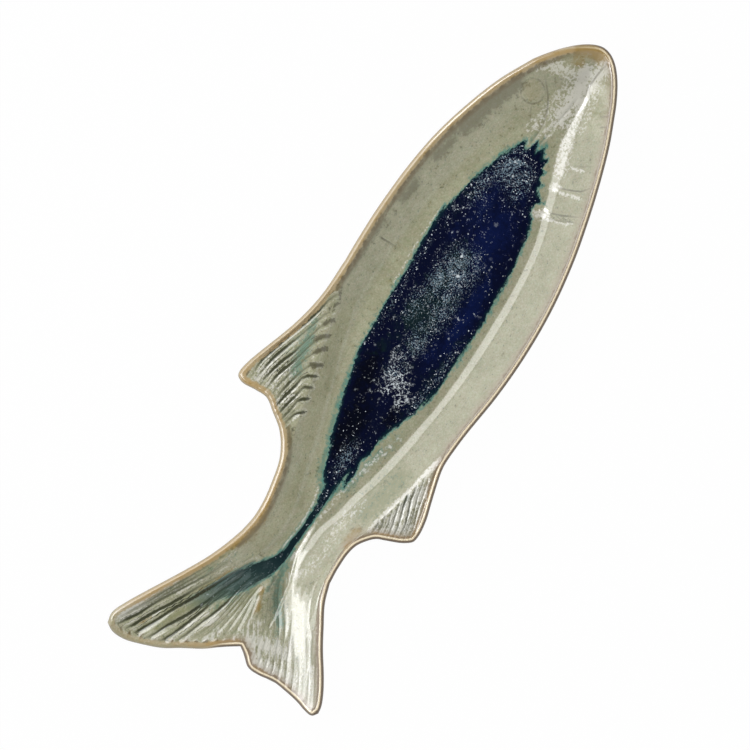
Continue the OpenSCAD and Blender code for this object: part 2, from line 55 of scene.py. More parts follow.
lipRadius = dish["wall"] / 2
floorTop = dish["foot"] + dish["floor"]
slopeEnd = 1 / (1 + dish["fillet"])
wallAngle = math.atan2(dish["rimHeight"] - lipRadius - floorTop, dish["wallRun"] * slopeEnd)
land = lipRadius * (1 + math.sin(wallAngle))
lipDrop = lipRadius * (1 - math.cos(wallAngle))


def sized(rows, width):
    # shares of the dish's sizes made millimetres
    rows = np.array(rows)
    return rows * [dish["length"], width, dish["wallRun"], 1][:rows.shape[1]]


backTable = np.vstack([
    sized([[.204, .632, .86, .60], [.228, .598, .86, .60], [.257, .600, .86, .60], [.290, .640, .85, .55],
           [.323, .700, .85, .40]], dish["waistWidth"]),
    sized([[.356, .366, .82, .22], [.413, .416, .72, .12], [.448, .447, .69, .12], [.482, .483, .70, .13],
           [.519, .522, .80, .14], [.548, .546, .88, .14], [.582, .555, .92, .14], [.641, .555, .97, .12],
           [.681, .548, 1.01, .10], [.734, .530, 1.05, .08], [.787, .497, 1.15, .10], [.840, .442, 1.26, .30],
           [.893, .368, 1.28, .42], [.939, .278, 1.13, .40]], dish["bodyWidth"])])
bellyTable = np.vstack([
    sized([[.204, .412, .74, .72], [.228, .404, .76, .72], [.257, .424, .82, .72], [.290, .534, .95, .66]],
          dish["waistWidth"]),
    sized([[.319, .290, 1.00, .52], [.350, .327, 1.03, .42], [.383, .356, 1.04, .38], [.416, .376, 1.02, .32],
           [.449, .387, .95, .22], [.469, .395, .91, .17], [.535, .429, .97, .10], [.601, .444, 1.02, .08],
           [.668, .438, 1.00, .09], [.734, .409, .98, .13], [.787, .370, 1.08, .12], [.840, .322, 1.14, .33],
           [.893, .263, 1.05, .42], [.939, .196, .66, .40]], dish["bodyWidth"])])
spineTable = sized([[.204, .034], [.270, .039], [.336, .049], [.402, .054], [.469, .059], [.601, .059],
                    [.734, .044], [.813, .029], [.866, .015], [.939, -.015]], dish["bodyWidth"])
sheerTable = sized([[0, 0], [.22, 1], [.45, .8], [.75, .3], [1, 0]], dish["rimSheer"])
dorsal["table"] = np.array([
    [0, 0, 0], [.05, .14, .05], [.08, .28, .17], [.11, .46, .38], [.14, .70, .69], [.16, .90, .92],
    [.18, .99, 1], [.20, .99, .91], [.25, .86, .69], [.32, .69, .48], [.41, .55, .32], [.50, .41, .17],
    [.55, .35, .10], [.60, .29, .05], [.69, .19, 0], [.82, .10, 0], [1, 0, 0]])
anal["table"] = np.array([
    [0, 0, 0], [.05, .13, 0], [.10, .27, .01], [.13, .35, .07], [.17, .47, .24], [.21, .63, .48],
    [.25, .82, .78], [.28, .94, .95], [.31, 1, 1], [.34, .98, .92], [.40, .87, .74], [.47, .71, .53],
    [.53, .57, .35], [.58, .46, .18], [.63, .38, .08], [.71, .29, 0], [.82, .16, 0], [1, 0, 0]])
dipTable = np.array([[0, 0], [.07, 0], [.14, .06], [.22, .35], [.29, .65], [.36, .85], [.43, 1], [1, 1]])
upperSide = [[.957, .565], [.880, .571], [.777, .540], [.647, .490], [.518, .438], [.388, .387], [.259, .340],
             [.129, .302]]
upperEnd = [[.957, .565], [.994, .523], [1, .466], [.978, .403], [.926, .307], [.857, .229], [.790, .148],
            [.718, .083], [.652, .015]]
lowerSide = [[.757, -.427], [.699, -.421], [.615, -.396], [.518, -.358], [.388, -.301], [.259, -.252],
             [.129, -.205]]
lowerEnd = [[.757, -.427], [.793, -.405], [.788, -.366], [.767, -.318], [.748, -.248], [.738, -.187],
            [.751, -.118], [.743, -.061], [.686, -.017], [.652, .015]]
frontEdge = 0.939 * dish["length"]
waistEdge = 0.204 * dish["length"]


def ease(t):
    t = np.clip(t, 0, 1)
    return t * t * (3 - 2 * t)


def mixed(a, b, t):
    return a + (b - a) * t


def unit(v):
    return v / np.linalg.norm(v, axis=-1, keepdims=True)


def right(v):
    return np.stack([v[..., 1], -v[..., 0]], -1)


def readTable(table, x, column=1):
    # smooth reading of one column of a table at the places x
    last = len(table) - 1
    i = np.clip(np.searchsorted(table[:, 0], x, side="right") - 1, 0, last - 1)

    def steepness(k):
        low, high = np.maximum(k - 1, 0), np.minimum(k + 1, last)
        return (table[high, column] - table[low, column]) / (table[high, 0] - table[low, 0])
    width = table[i + 1, 0] - table[i, 0]
    t = np.clip((x - table[i, 0]) / width, 0, 1)
    rise = steepness(i) * width * t * (1 - t) ** 2 - steepness(i + 1) * width * t * t * (1 - t)
    return mixed(table[i, column], table[i + 1, column], ease(t)) + rise


def along(points, t):
    # smooth path through the points, t from 0 to 1
    points = np.asarray(points, float)
    guides = np.vstack([2 * points[0] - points[1], points, 2 * points[-1] - points[-2]])
    last = len(points) - 1
    t = np.atleast_1d(np.asarray(t, float))
    i = np.clip(np.floor(t * last).astype(int), 0, last - 1)
    f = (t * last - i)[:, None]
    a, b, c, d = (guides[i + k] for k in range(4))
    return b + f * ((c - a) / 2 + f * (a - 2.5 * b + 2 * c - d / 2 + f * (1.5 * (b - c) + (d - a) / 2)))


def edgeTable(side):
    return backTable if side > 0 else bellyTable


def bodyEdge(side, x):
    return np.stack([x, side * readTable(edgeTable(side), x)], -1)


def finPlace(side, x):
    fin = dorsal if side > 0 else anal
    return (fin["front"] * dish["length"] - x) / (fin["root"] * dish["length"])


def finEdge(side, x):
    fin = dorsal if side > 0 else anal
    p = np.clip(finPlace(side, x), 0, 1)
    swept = bodyEdge(side, x - fin["sweep"] * readTable(fin["table"], p, 1))
    swept[:, 1] += side * fin["rise"] * readTable(fin["table"], p, 2)
    return swept


focus = np.array([frontEdge, readTable(spineTable, np.array([frontEdge]))[0]])


def noseEdge(side, t):
    s = 1 - (1 - t) ** 2
    start = bodyEdge(side, np.array([frontEdge]))[0]
    power = dish["noseBack"] if side > 0 else dish["noseBelly"]
    noseY = dish["noseHeight"] * dish["bodyWidth"]
    return np.stack([mixed(frontEdge, dish["length"], s), noseY + (start[1] - noseY) * (1 - s) ** power], -1)


def tailPoints(rows):
    return [[waistEdge - s[0] * dish["tailLength"], s[1] * dish["tailSpan"]] for s in rows]


lobeSide = {side: tailPoints(rows) + [list(bodyEdge(side, np.array([waistEdge]))[0])]
            for side, rows in ((1, upperSide), (-1, lowerSide))}
lobeEnd = {1: tailPoints(upperEnd), -1: tailPoints(lowerEnd)}
endShares = ([0, 1, 2, 14], [0, lipShare / 2, lipShare, 1])


def endPoint(side, q):
    return along(lobeEnd[side], np.interp(q, *endShares))[0]


def rimAt(x):
    return dish["rimHeight"] - readTable(sheerTable, np.clip(x, 0, dish["length"]))


def wallHeight(w):
    a, fillet = 1 - w / slopeEnd, dish["fillet"]
    return a if a > fillet else 0 if a < -fillet else (a + fillet) ** 2 / (4 * fillet)


# how finely the coats are drawn: rows run round the outline, columns from the lip to the middle
# the plainer outlines for the clay and for the outside have so many rows in the tail, the body, the nose and the lip
mesh = {"lip": 7, "tailRows": 66, "bodyStep": 1.12, "headStep": 1.3, "noseRows": 34, "columns": 78,
        "hidden": (24, 130, 12, 4), "outside": (44, 380, 24, 6)}
# how far each surface lies under the glaze's face
coats = {"sageBed": 1.5, "lowerBed": .55, "clayTop": 1.8, "clayBelow": .75}


def bodyPlaces():
    # places along the body, close together where an edge runs far for a short root
    x = np.linspace(waistEdge, frontEdge, 4000)
    pace = np.ones(len(x))
    for side in (1, -1):
        edge = np.where((finPlace(side, x) > 0)[:, None], finEdge(side, x), bodyEdge(side, x))
        run = np.linalg.norm(np.gradient(edge, x, axis=0), axis=1)
        pace = np.maximum(pace, np.where(finPlace(side, x) > -.05, np.clip(run, 1, 6), 1))
    pace /= np.where(x > dorsal["front"] * dish["length"], mesh["headStep"], mesh["bodyStep"])
    total = np.concatenate([[0], np.cumsum((pace[1:] + pace[:-1]) / 2 * np.diff(x))])
    return np.interp(np.linspace(0, total[-1], int(total[-1]) + 1), total, x)


class Outline:
    # every row round the dish: up the back from the tail's corner to the nose, and down the belly
    def __init__(self, tailRows, places, noseRows, lip):
        shares = np.concatenate([np.linspace(0, lipShare, lip), np.linspace(lipShare, 1, tailRows - lip + 2)[1:-1]])
        fan = np.linspace(0, 1, noseRows + 1)[1:]
        half = []
        for side in (1, -1):
            tail = along(lobeSide[side], shares)
            inFin = (finPlace(side, places) > 0) & (finPlace(side, places) < 1)
            body = np.where(inFin[:, None], finEdge(side, places), bodyEdge(side, places))
            half.append(np.vstack([tail, body, noseEdge(side, fan)]))
        n, b, f = len(shares), len(places), len(fan)
        one = {"share": np.concatenate([shares, np.ones(b + f)]),
               "x": np.concatenate([np.full(n, waistEdge), places, np.full(f, frontEdge)]),
               "fan": np.concatenate([np.zeros(n + b), fan]),
               "row": np.arange(n + b + f)}
        for key, values in one.items():
            setattr(self, key, np.concatenate([values, values[-2::-1]]))
        self.edge = np.vstack([half[0], half[1][-2::-1]])
        self.side = np.concatenate([np.ones(n + b + f), -np.ones(n + b + f - 1)])
        step = lipShare / max(lip - 1, 1)
        before = np.vstack([along(lobeEnd[1], step), self.edge[:-1]])
        after = np.vstack([self.edge[1:], along(lobeEnd[-1], step)])
        self.normal = unit(right(after - before))
        self.tail = self.row < n
        self.count = len(self.row)
        self.waist = {1: n, -1: self.count - 1 - n}
        self.frames()

    def frames(self):
        # for each row its rim, the root and foot of its wall, and the middle of the dish
        onNose = self.fan > 0
        self.t = np.clip((self.share - lipShare) / (1 - lipShare), 0, 1)
        self.rim = np.where(self.tail, mixed(dish["rimHeight"], rimAt(np.array([waistEdge]))[0], ease(self.t)),
                            rimAt(np.where(onNose, self.edge[:, 0], self.x)))
        self.root, self.inFin = self.edge.copy(), np.zeros(self.count)
        self.bend, self.run, self.poolShare = np.zeros(self.count), np.zeros(self.count), np.zeros(self.count)
        for side in (1, -1):
            rows = (self.side == side) & ~self.tail
            x, fin = self.x[rows], dorsal if side > 0 else anal
            inward = unit(right(side * (bodyEdge(side, x + lipRadius / 2) - bodyEdge(side, x - lipRadius / 2))))
            inward = np.where(onNose[rows][:, None], self.normal[rows], inward)
            base = np.where(onNose[rows][:, None], self.edge[rows], bodyEdge(side, x))
            self.root[rows] = base + inward * land
            p = finPlace(side, x)
            shelf = fin["rise"] * readTable(fin["table"], np.clip(p, 0, 1), 2)
            within = (p > 0) & (p < 1) & ~onNose[rows]
            self.inFin[rows] = np.where(within, np.clip(shelf / land - .2, 0, 1), 0)
            self.bend[rows] = ease((p - fin["tip"]) / .08)
            self.run[rows] = mixed(readTable(edgeTable(side), x, 2), dish["noseRun"] * dish["wallRun"], self.fan[rows])
            self.poolShare[rows] = readTable(edgeTable(side), x, 3)
        self.middle = np.where(onNose[:, None], focus, np.stack([self.x, readTable(spineTable, self.x)], -1))
        way = self.middle - self.root
        gap = np.linalg.norm(way, axis=1)
        gap[self.tail] = 1
        self.inward = way / gap[:, None]
        self.span = np.minimum(self.run, gap * dish["wallLimit"])
        self.foot = self.root + self.inward * self.span[:, None]
        self.pool = mixed(self.foot, self.middle, self.poolShare[:, None])


# q counts the surface's columns: 2 is the lip's top, 6 the top of the wall, 11 its foot, 12 the pool's edge and
# 14 the middle; on the underside 2 is the lip's end, 6 the wall's foot and 7 the middle
def lipPoint(edge, normal, rim, coat, angle):
    # a point on the round of the lip, 0 degrees outside and 90 on top
    angle = np.radians(angle)
    xy = edge + normal * (lipRadius - (lipRadius - coat) * np.cos(angle))[..., None]
    return np.concatenate([xy, (rim - lipRadius + (lipRadius - coat) * np.sin(angle))[..., None]], -1)


def bent(start, end, bend, t):
    # from the lip to the wall, turning the corner at the root of a fin
    corner = np.stack([mixed(end[:, 0], start[:, 0], .1), mixed(end[:, 1], start[:, 1], .35)], -1)
    middle = mixed((start + end) / 2, corner, bend[:, None])
    return mixed(mixed(start, middle, t), mixed(middle, end, t), t)


def topBody(o, q, coat, lowest):
    if q <= 2:
        return lipPoint(o.edge, o.normal, o.rim, coat, np.full(o.count, mixed(lowest, 90, q / 2)))
    if q <= 6:
        t = (q - 2) / 4
        sink = np.interp(t, [0, .25, .75, 1], [0, 1, 1, .3]) * o.inFin * dish["panelDepth"]
        z = o.rim - lipRadius * (1 - math.cos(t * wallAngle)) - sink - coat
        return np.concatenate([bent(o.edge + o.normal * lipRadius, o.root, o.bend, t), z[:, None]], -1)
    if q <= 11:
        w = np.interp(q, [6, 7, 8, 9, 10, 11], [0, .25, .5, .7, .86, 1])
        sink = .3 * o.inFin * dish["panelDepth"] * max(0, 1 - w / .25)
        z = floorTop + (o.rim - lipDrop - floorTop) * wallHeight(w) - sink - coat
        return np.concatenate([mixed(o.root, o.foot, w), z[:, None]], -1)
    xy = mixed(o.foot, o.pool, q - 11) if q <= 12 else mixed(o.pool, o.middle, (q - 12) / 2)
    return np.concatenate([xy, np.full((o.count, 1), floorTop - coat)], -1)


def underBody(o, q, coat, lowest):
    turn = -90 + math.degrees(wallAngle) * (1 - o.inFin)
    if q <= 2:
        return lipPoint(o.edge, o.normal, o.rim, coat, np.where(q <= 1, -30 * q, mixed(-30, turn, q - 1)))
    if q <= 6:
        w = np.interp(q, [3, 4, 5, 6], [.2, .42, .7, 1])
        steep = np.clip((1 - w / slopeEnd + dish["fillet"]) / (2 * dish["fillet"]), 0, 1) / slopeEnd
        wallTop = o.rim - lipDrop
        slope = np.arctan((wallTop - floorTop) / np.maximum(o.span, 1) * steep)
        thick = mixed(dish["wall"], dish["floor"], w)
        xy = mixed(o.root, o.foot, w) - o.inward * (thick * np.sin(slope))[:, None]
        z = floorTop + (wallTop - floorTop) * wallHeight(w) - thick * np.cos(slope) + coat
        z = z if w < .99 else np.full(o.count, dish["foot"])
        wall = np.concatenate([xy, z[:, None]], -1)
        return wall if q >= 3 else mixed(underBody(o, 2, coat, lowest), wall, q - 2)
    return np.concatenate([mixed(o.foot, o.middle, q - 6), np.full((o.count, 1), dish["foot"])], -1)


def surface(o, columns, coat, up=True, lowest=0):
    # points of the upper or the lower face, one row for each of the outline's and one column for each q
    body = topBody if up else underBody
    points = np.stack([body(o, q, coat, lowest) for q in columns], 1)
    lipCount = int((columns <= 2).sum())
    scale = 1 if up else 2
    rows = np.flatnonzero(o.tail)
    for side in (1, -1):
        mine = rows[o.side[rows] == side]
        t = o.t[mine]
        waist = points[o.waist[side]]
        waistLip = waist[lipCount - 1, :2]
        reach = np.linalg.norm(waist[-1, :2] - waistLip)
        normalAt = {}
        for q in (*(columns * scale), 2.0):
            normalAt[q] = (np.array([1.0, 0]) if q >= 14 else o.normal[0 if side > 0 else -1] if q == 0
                           else unit(side * right(endPoint(side, q - .2) - endPoint(side, q + .2))))
        innerLip = endPoint(side, 2) + normalAt[2.0] * lipRadius
        lipNow = o.edge[mine] + o.normal[mine] * lipRadius
        for k, q in enumerate(columns):
            qTop = q * scale
            height = dish["rimHeight"] - dish["tailDip"] * readTable(dipTable, np.array([qTop / 14]))[0]
            if k >= lipCount:
                inner = endPoint(side, qTop) + normalAt[qTop] * lipRadius
                share = mixed(qTop / 14, np.linalg.norm(waist[k, :2] - waistLip) / reach, t)
                pull = lipNow - mixed(innerLip, waistLip, t[:, None])
                xy = mixed(inner, waist[k, :2], t[:, None]) + pull * (1 - share)[:, None]
                z = mixed(height + (-coat if up else coat - dish["wall"]), waist[k, 2], ease(t))
                points[mine, k] = np.concatenate([xy, z[:, None]], -1)
            elif up:
                angle = np.full(len(mine), mixed(lowest, 90, q / 2))
                points[mine, k] = lipPoint(o.edge[mine], o.normal[mine], o.rim[mine], coat, angle)
            else:
                near, far = (q * 45, 45 + (q - 1) * 45) if q > 1 else (q * 45, q * 45)
                start = np.full(len(mine), near if q <= 1 else far)
                end = q * 30 if q <= 1 else mixed(30, 90 - math.degrees(wallAngle), q - 1)
                points[mine, k] = lipPoint(o.edge[mine], o.normal[mine], o.rim[mine], coat,
                                           -mixed(start, end, t))
            for n, row in enumerate(mine if side > 0 else mine[::-1]):
                if n >= lipCount or k < n:
                    continue
                ring = 2 * n / (lipCount - 1)
                angle = mixed(lowest, 90, ring / 2) if up else -45 * ring
                points[row, k] = lipPoint(endPoint(side, qTop), normalAt[qTop], np.array(height), coat,
                                          np.array(angle))
    return points


def photoPlace(points):
    # where a point lies on the photograph, in pixels along and across the fish
    return points[..., 0] / pixel - notch, points[..., 1] / pixel


# the relief and the glaze's drawing, in the photograph's pixels along and across the fish from the tail's notch
# grooves: places along each one and how deep and dark it is there
grooves = {
    "dorsalFin": [
        [(237, 134, .1), (250, 133.5, .4), (258, 133, .9), (275, 127.5, .9), (290, 122.5, .8), (315, 113.5, .8),
         (330, 109.5, .8), (342, 107.5, .4), (352, 103, .2)],
        [(234, 129, .1), (250, 127, .5), (262, 125, .9), (275, 121, 1), (285, 117.5, .7), (300, 112, .3),
         (315, 107, .35), (328, 103, .3), (336, 98, .2)],
        [(232, 122, .1), (246, 121, .6), (258, 118, 1), (270, 114, 1), (279, 110, .8), (290, 107, .3),
         (305, 103, .35), (315, 100.5, .3), (321, 96, .2)],
        [(232, 115, .1), (248, 113, .7), (260, 110, 1), (270, 106, .8), (280, 103, .4), (295, 99, .3), (303, 96, .3),
         (309, 91, .2)],
        [(232, 107, .1), (246, 105.5, .5), (256, 103, .5), (268, 100, .3), (282, 96, .3), (290, 92, .3), (297, 87, .3)],
        [(226, 101, .1), (240, 100, .5), (252, 98, .8), (258, 96, .5), (270, 92.5, .3), (278, 88.5, .4), (283, 80, .6)],
        [(222, 97, .2), (230, 96.5, .8), (240, 94.5, 1), (252, 91, .8), (262, 89.5, .5), (267, 86, .8),
         (271, 78.5, .8)],
        [(218, 91, .2), (226, 90, .7), (234, 88.5, .9), (244, 85.5, .7), (252, 84.5, .4), (256, 82.5, .7),
         (259, 76.5, .7)],
        [(216, 86, .2), (224, 84, .6), (234, 82.5, .5), (240, 81.5, .5), (244, 78.5, .9), (247.5, 74, .8)],
        [(213, 81, .2), (220, 79.5, .4), (226, 77.5, .6), (230, 74.5, .8), (234, 70.5, .8)]],
    "analFin": [
        [(167, -50.5, .3), (173, -51.5, .6), (179, -50, .4)], [(168, -55.5, .3), (176, -55.5, .6), (187, -53, .4)],
        [(170, -61, .3), (182, -60, .5), (195, -56.5, .4)],
        [(170, -66, .3), (181, -64.5, .6), (195, -61, .6), (205, -59, .5)],
        [(172, -71, .3), (183, -70, .6), (196, -66.5, .6), (206, -63.5, .9), (216, -62, .8)],
        [(175, -76, .3), (190, -75, .7), (203, -71, .8), (214, -67, .7), (228, -64.8, .6)],
        [(177, -81, .3), (190, -79, .5), (205, -76, .5), (220, -71, .5), (240, -67.5, .3)],
        [(180, -85, .3), (196, -82, .5), (210, -78, .5), (224, -75, .4), (240, -71.5, .3)],
        [(186, -88, .2), (200, -85, .3), (220, -80, .3)]],
    "upperTail": [
        [(-38, 123, .2), (-25, 115.5, .4), (0, 101.5, .5), (20, 91, .5), (40, 80, .4), (60, 69.5, .3), (80, 60, .1)],
        [(-34, 119.5, .2), (-20, 111, .3), (0, 98.5, .4), (20, 87, .5), (40, 76, .4), (60, 66, .2)],
        [(-43, 120, .4), (-33, 114, .9), (-25, 108, .9), (-10, 101, .7), (0, 95.5, .6), (20, 83.5, .6),
         (45, 68.5, .5), (66, 58, .2)],
        [(-43, 111, .3), (-36, 106, .9), (-22, 99, 1), (-10, 92, 1), (0, 85.5, 1), (10, 80, .9), (20, 75, .6),
         (30, 70, .4), (50, 58, .2)],
        [(-44, 101.5, .3), (-38, 98, 1), (-29, 93, 1), (-18, 87.5, 1), (-10, 84, .8), (0, 79, 1), (10, 73, 1),
         (20, 67.5, 1), (30, 62.5, 1), (40, 57, .8), (60, 47.5, .6), (80, 35.5, .4)],
        [(-43, 90, .2), (-34, 83.5, .6), (-22, 78, .9), (-10, 71, 1), (0, 65, 1), (10, 60.5, .9), (20, 56, .7),
         (40, 48, .6), (60, 38, .4)],
        [(-37, 75.5, .2), (-32, 71.5, .8), (-24, 67.5, .8), (-10, 62, .9), (0, 58.2, .9), (10, 54.5, .8),
         (22, 50.5, .6), (40, 43, .4)],
        [(-28, 60.5, .2), (-20, 57, .5), (-10, 53, .6), (0, 49.3, .8), (10, 45, .9), (20, 41, 1), (29, 38, 1),
         (40, 36, .7), (52, 33.5, .4), (66, 30, .2)],
        [(-18, 49, .1), (-5, 42.5, .25), (10, 37, .3), (25, 33.5, .4), (36, 31.5, .5), (50, 28.5, .3), (70, 23, .2)],
        [(-14, 41, .1), (0, 36, .3), (15, 31.5, .3), (30, 29, .4), (45, 27, .3), (65, 22, .2)],
        [(-8, 32, .1), (5, 30, .25), (25, 25.5, .3), (45, 23.5, .3), (62, 20.5, .2)],
        [(-2, 24, .1), (10, 22.5, .25), (28, 20.8, .3), (45, 20, .3), (60, 18.5, .2)],
        [(3, 17, .1), (12, 15.5, .25), (30, 16, .3), (48, 17.5, .2)]],
    "lowerTail": [
        [(8, 8, .1), (22, 9, .2), (38, 12, .25), (52, 14.5, .2)],
        [(6, 1.5, .1), (20, 3, .25), (38, 5.5, .3), (55, 10, .2)],
        [(-8, -9, .2), (4, -5.5, .3), (20, -3, .3), (38, .5, .3), (52, 7, .3), (66, 10, .3)],
        [(-13, -16, .2), (-3, -13.5, .4), (12, -11, .3), (26, -8, .3), (38, -4, .4), (50, 2, .5), (62, 7.5, .5),
         (76, 10, .4)],
        [(-14, -23, .2), (0, -19.5, .5), (12, -16.5, .4), (24, -13.5, .4), (36, -9.5, .4), (48, -2.5, .5),
         (60, 4, .5), (74, 8, .5), (90, 8, .3)],
        [(-14, -31, .2), (-4, -28, .5), (6, -25.5, .4), (20, -21.5, .4), (32, -17, .4), (44, -10, .6), (56, -2, .7),
         (68, 4, .7), (82, 7, .4)],
        [(-13, -37.5, .3), (-6, -37, .7), (2, -34, .6), (12, -30.5, .5), (24, -26, .5), (38, -18.5, .6),
         (50, -10, .8), (62, -2, .8), (74, 3.5, .6), (86, 6, .3)],
        [(-13, -46, .3), (0, -42, .6), (14, -36.5, .5), (30, -29.5, .5), (44, -23, .5), (56, -14, .6), (68, -5, .5),
         (78, 0, .3)], [(-13, -55.5, .3), (0, -50, .5), (14, -43, .5), (28, -37, .4), (42, -31.5, .3), (56, -24, .2)],
        [(-14, -64.5, .3), (0, -58.5, .5), (10, -54, .5), (20, -48.5, .4), (34, -38, .6), (44, -34, .1)],
        [(-15, -72, .3), (0, -65, .5), (10, -60, .4), (18, -54, .7), (24, -50.5, .2)],
        [(-17, -79, .3), (0, -71, .6), (20, -60.5, .5), (34, -52.5, .5), (48, -44, .6), (58, -38, .4), (68, -31, .2)],
        [(-18, -84.5, .3), (0, -76, .5), (20, -66.5, .5), (40, -56, .4), (60, -44.5, .3), (76, -35, .1)],
        [(-17, -90, .2), (0, -82, .3), (20, -72.5, .4), (40, -62, .3), (60, -50.5, .2)]],
}
etched = {
    "head": [
        [(618.5, 34.5, .3), (613, 32.5, .6), (603, 26.5, .4), (592, 22, .3), (580, 21, .1)],
        [(640, 53, .1), (634, 53, .5), (629, 52.7, .3)],
        [(651, 41, .2), (642, 32, .7), (634, 25, .8), (627, 20.5, .8), (618, 16.5, .7), (608, 14.3, .6),
         (596, 14, .6), (584, 15, .5), (572, 17, .3)],
        [(646, -2.5, .1), (630, 0, .5), (614, 3.5, .4), (598, 5, .5), (584, 8, .5), (570, 11, .2)],
        [(652, -8, .2), (664, -6.2, .8), (676, -6.8, .8), (690, -9.5, .5)]],
    "gills": [
        [(527.5, -39, .5), (531, -50, .7), (535, -60, .7), (538, -67, .3)],
        [(533.5, -38, .7), (537, -50, .9), (542, -62, .6)],
        [(560, -34, .6), (563, -44, .9), (566.5, -53, .9), (572, -58, .5)],
        [(586, -33, .3), (589, -42, .6), (594, -50, .3)]],
    "cracks": [
        [(424, 93, 1), (424.6, 82, .7), (424.4, 70, .2)], [(641.5, -32, .6), (644, -36, .9), (647, -39, 1)],
        [(632, -37, .7), (635.5, -43, .9)], [(424, -77, .2), (424.6, -83, .5)]],
}
# each group's reach to either side and its depth in millimetres
rayGroups = (("dorsalFin", 4.2, .46), ("analFin", 2.6, .4), ("upperTail", 4.4, .5), ("lowerTail", 3.6, .26))
etchedGroups = (("head", 3.6, .4), ("gills", 3.4, .55), ("cracks", 2.4, .12))
# soft strokes, each a line, its width and its strength: first what is raised, in millimetres
raised = {
    "gills": [
        ([(530, -30), (534, -48), (539, -66)], 3.6, .75), ([(559, -30), (562, -44), (568, -58)], 3.4, .6),
        ([(584, -34), (588, -50)], 3.2, .4), ([(526, -18), (529, -34)], 4.5, .3)],
    "shoulder": [([(-24, -86), (-4, -79), (14, -70), (30, -61), (44, -52)], 9.5, 1.2)],
    "scallops": [([start, end], 3.0, .35) for start, end in (
        ((286, 87), (289, 82)), ((301, 91), (305, 87)), ((314, 95), (318, 91)), ((331, 99), (335, 95)))],
}
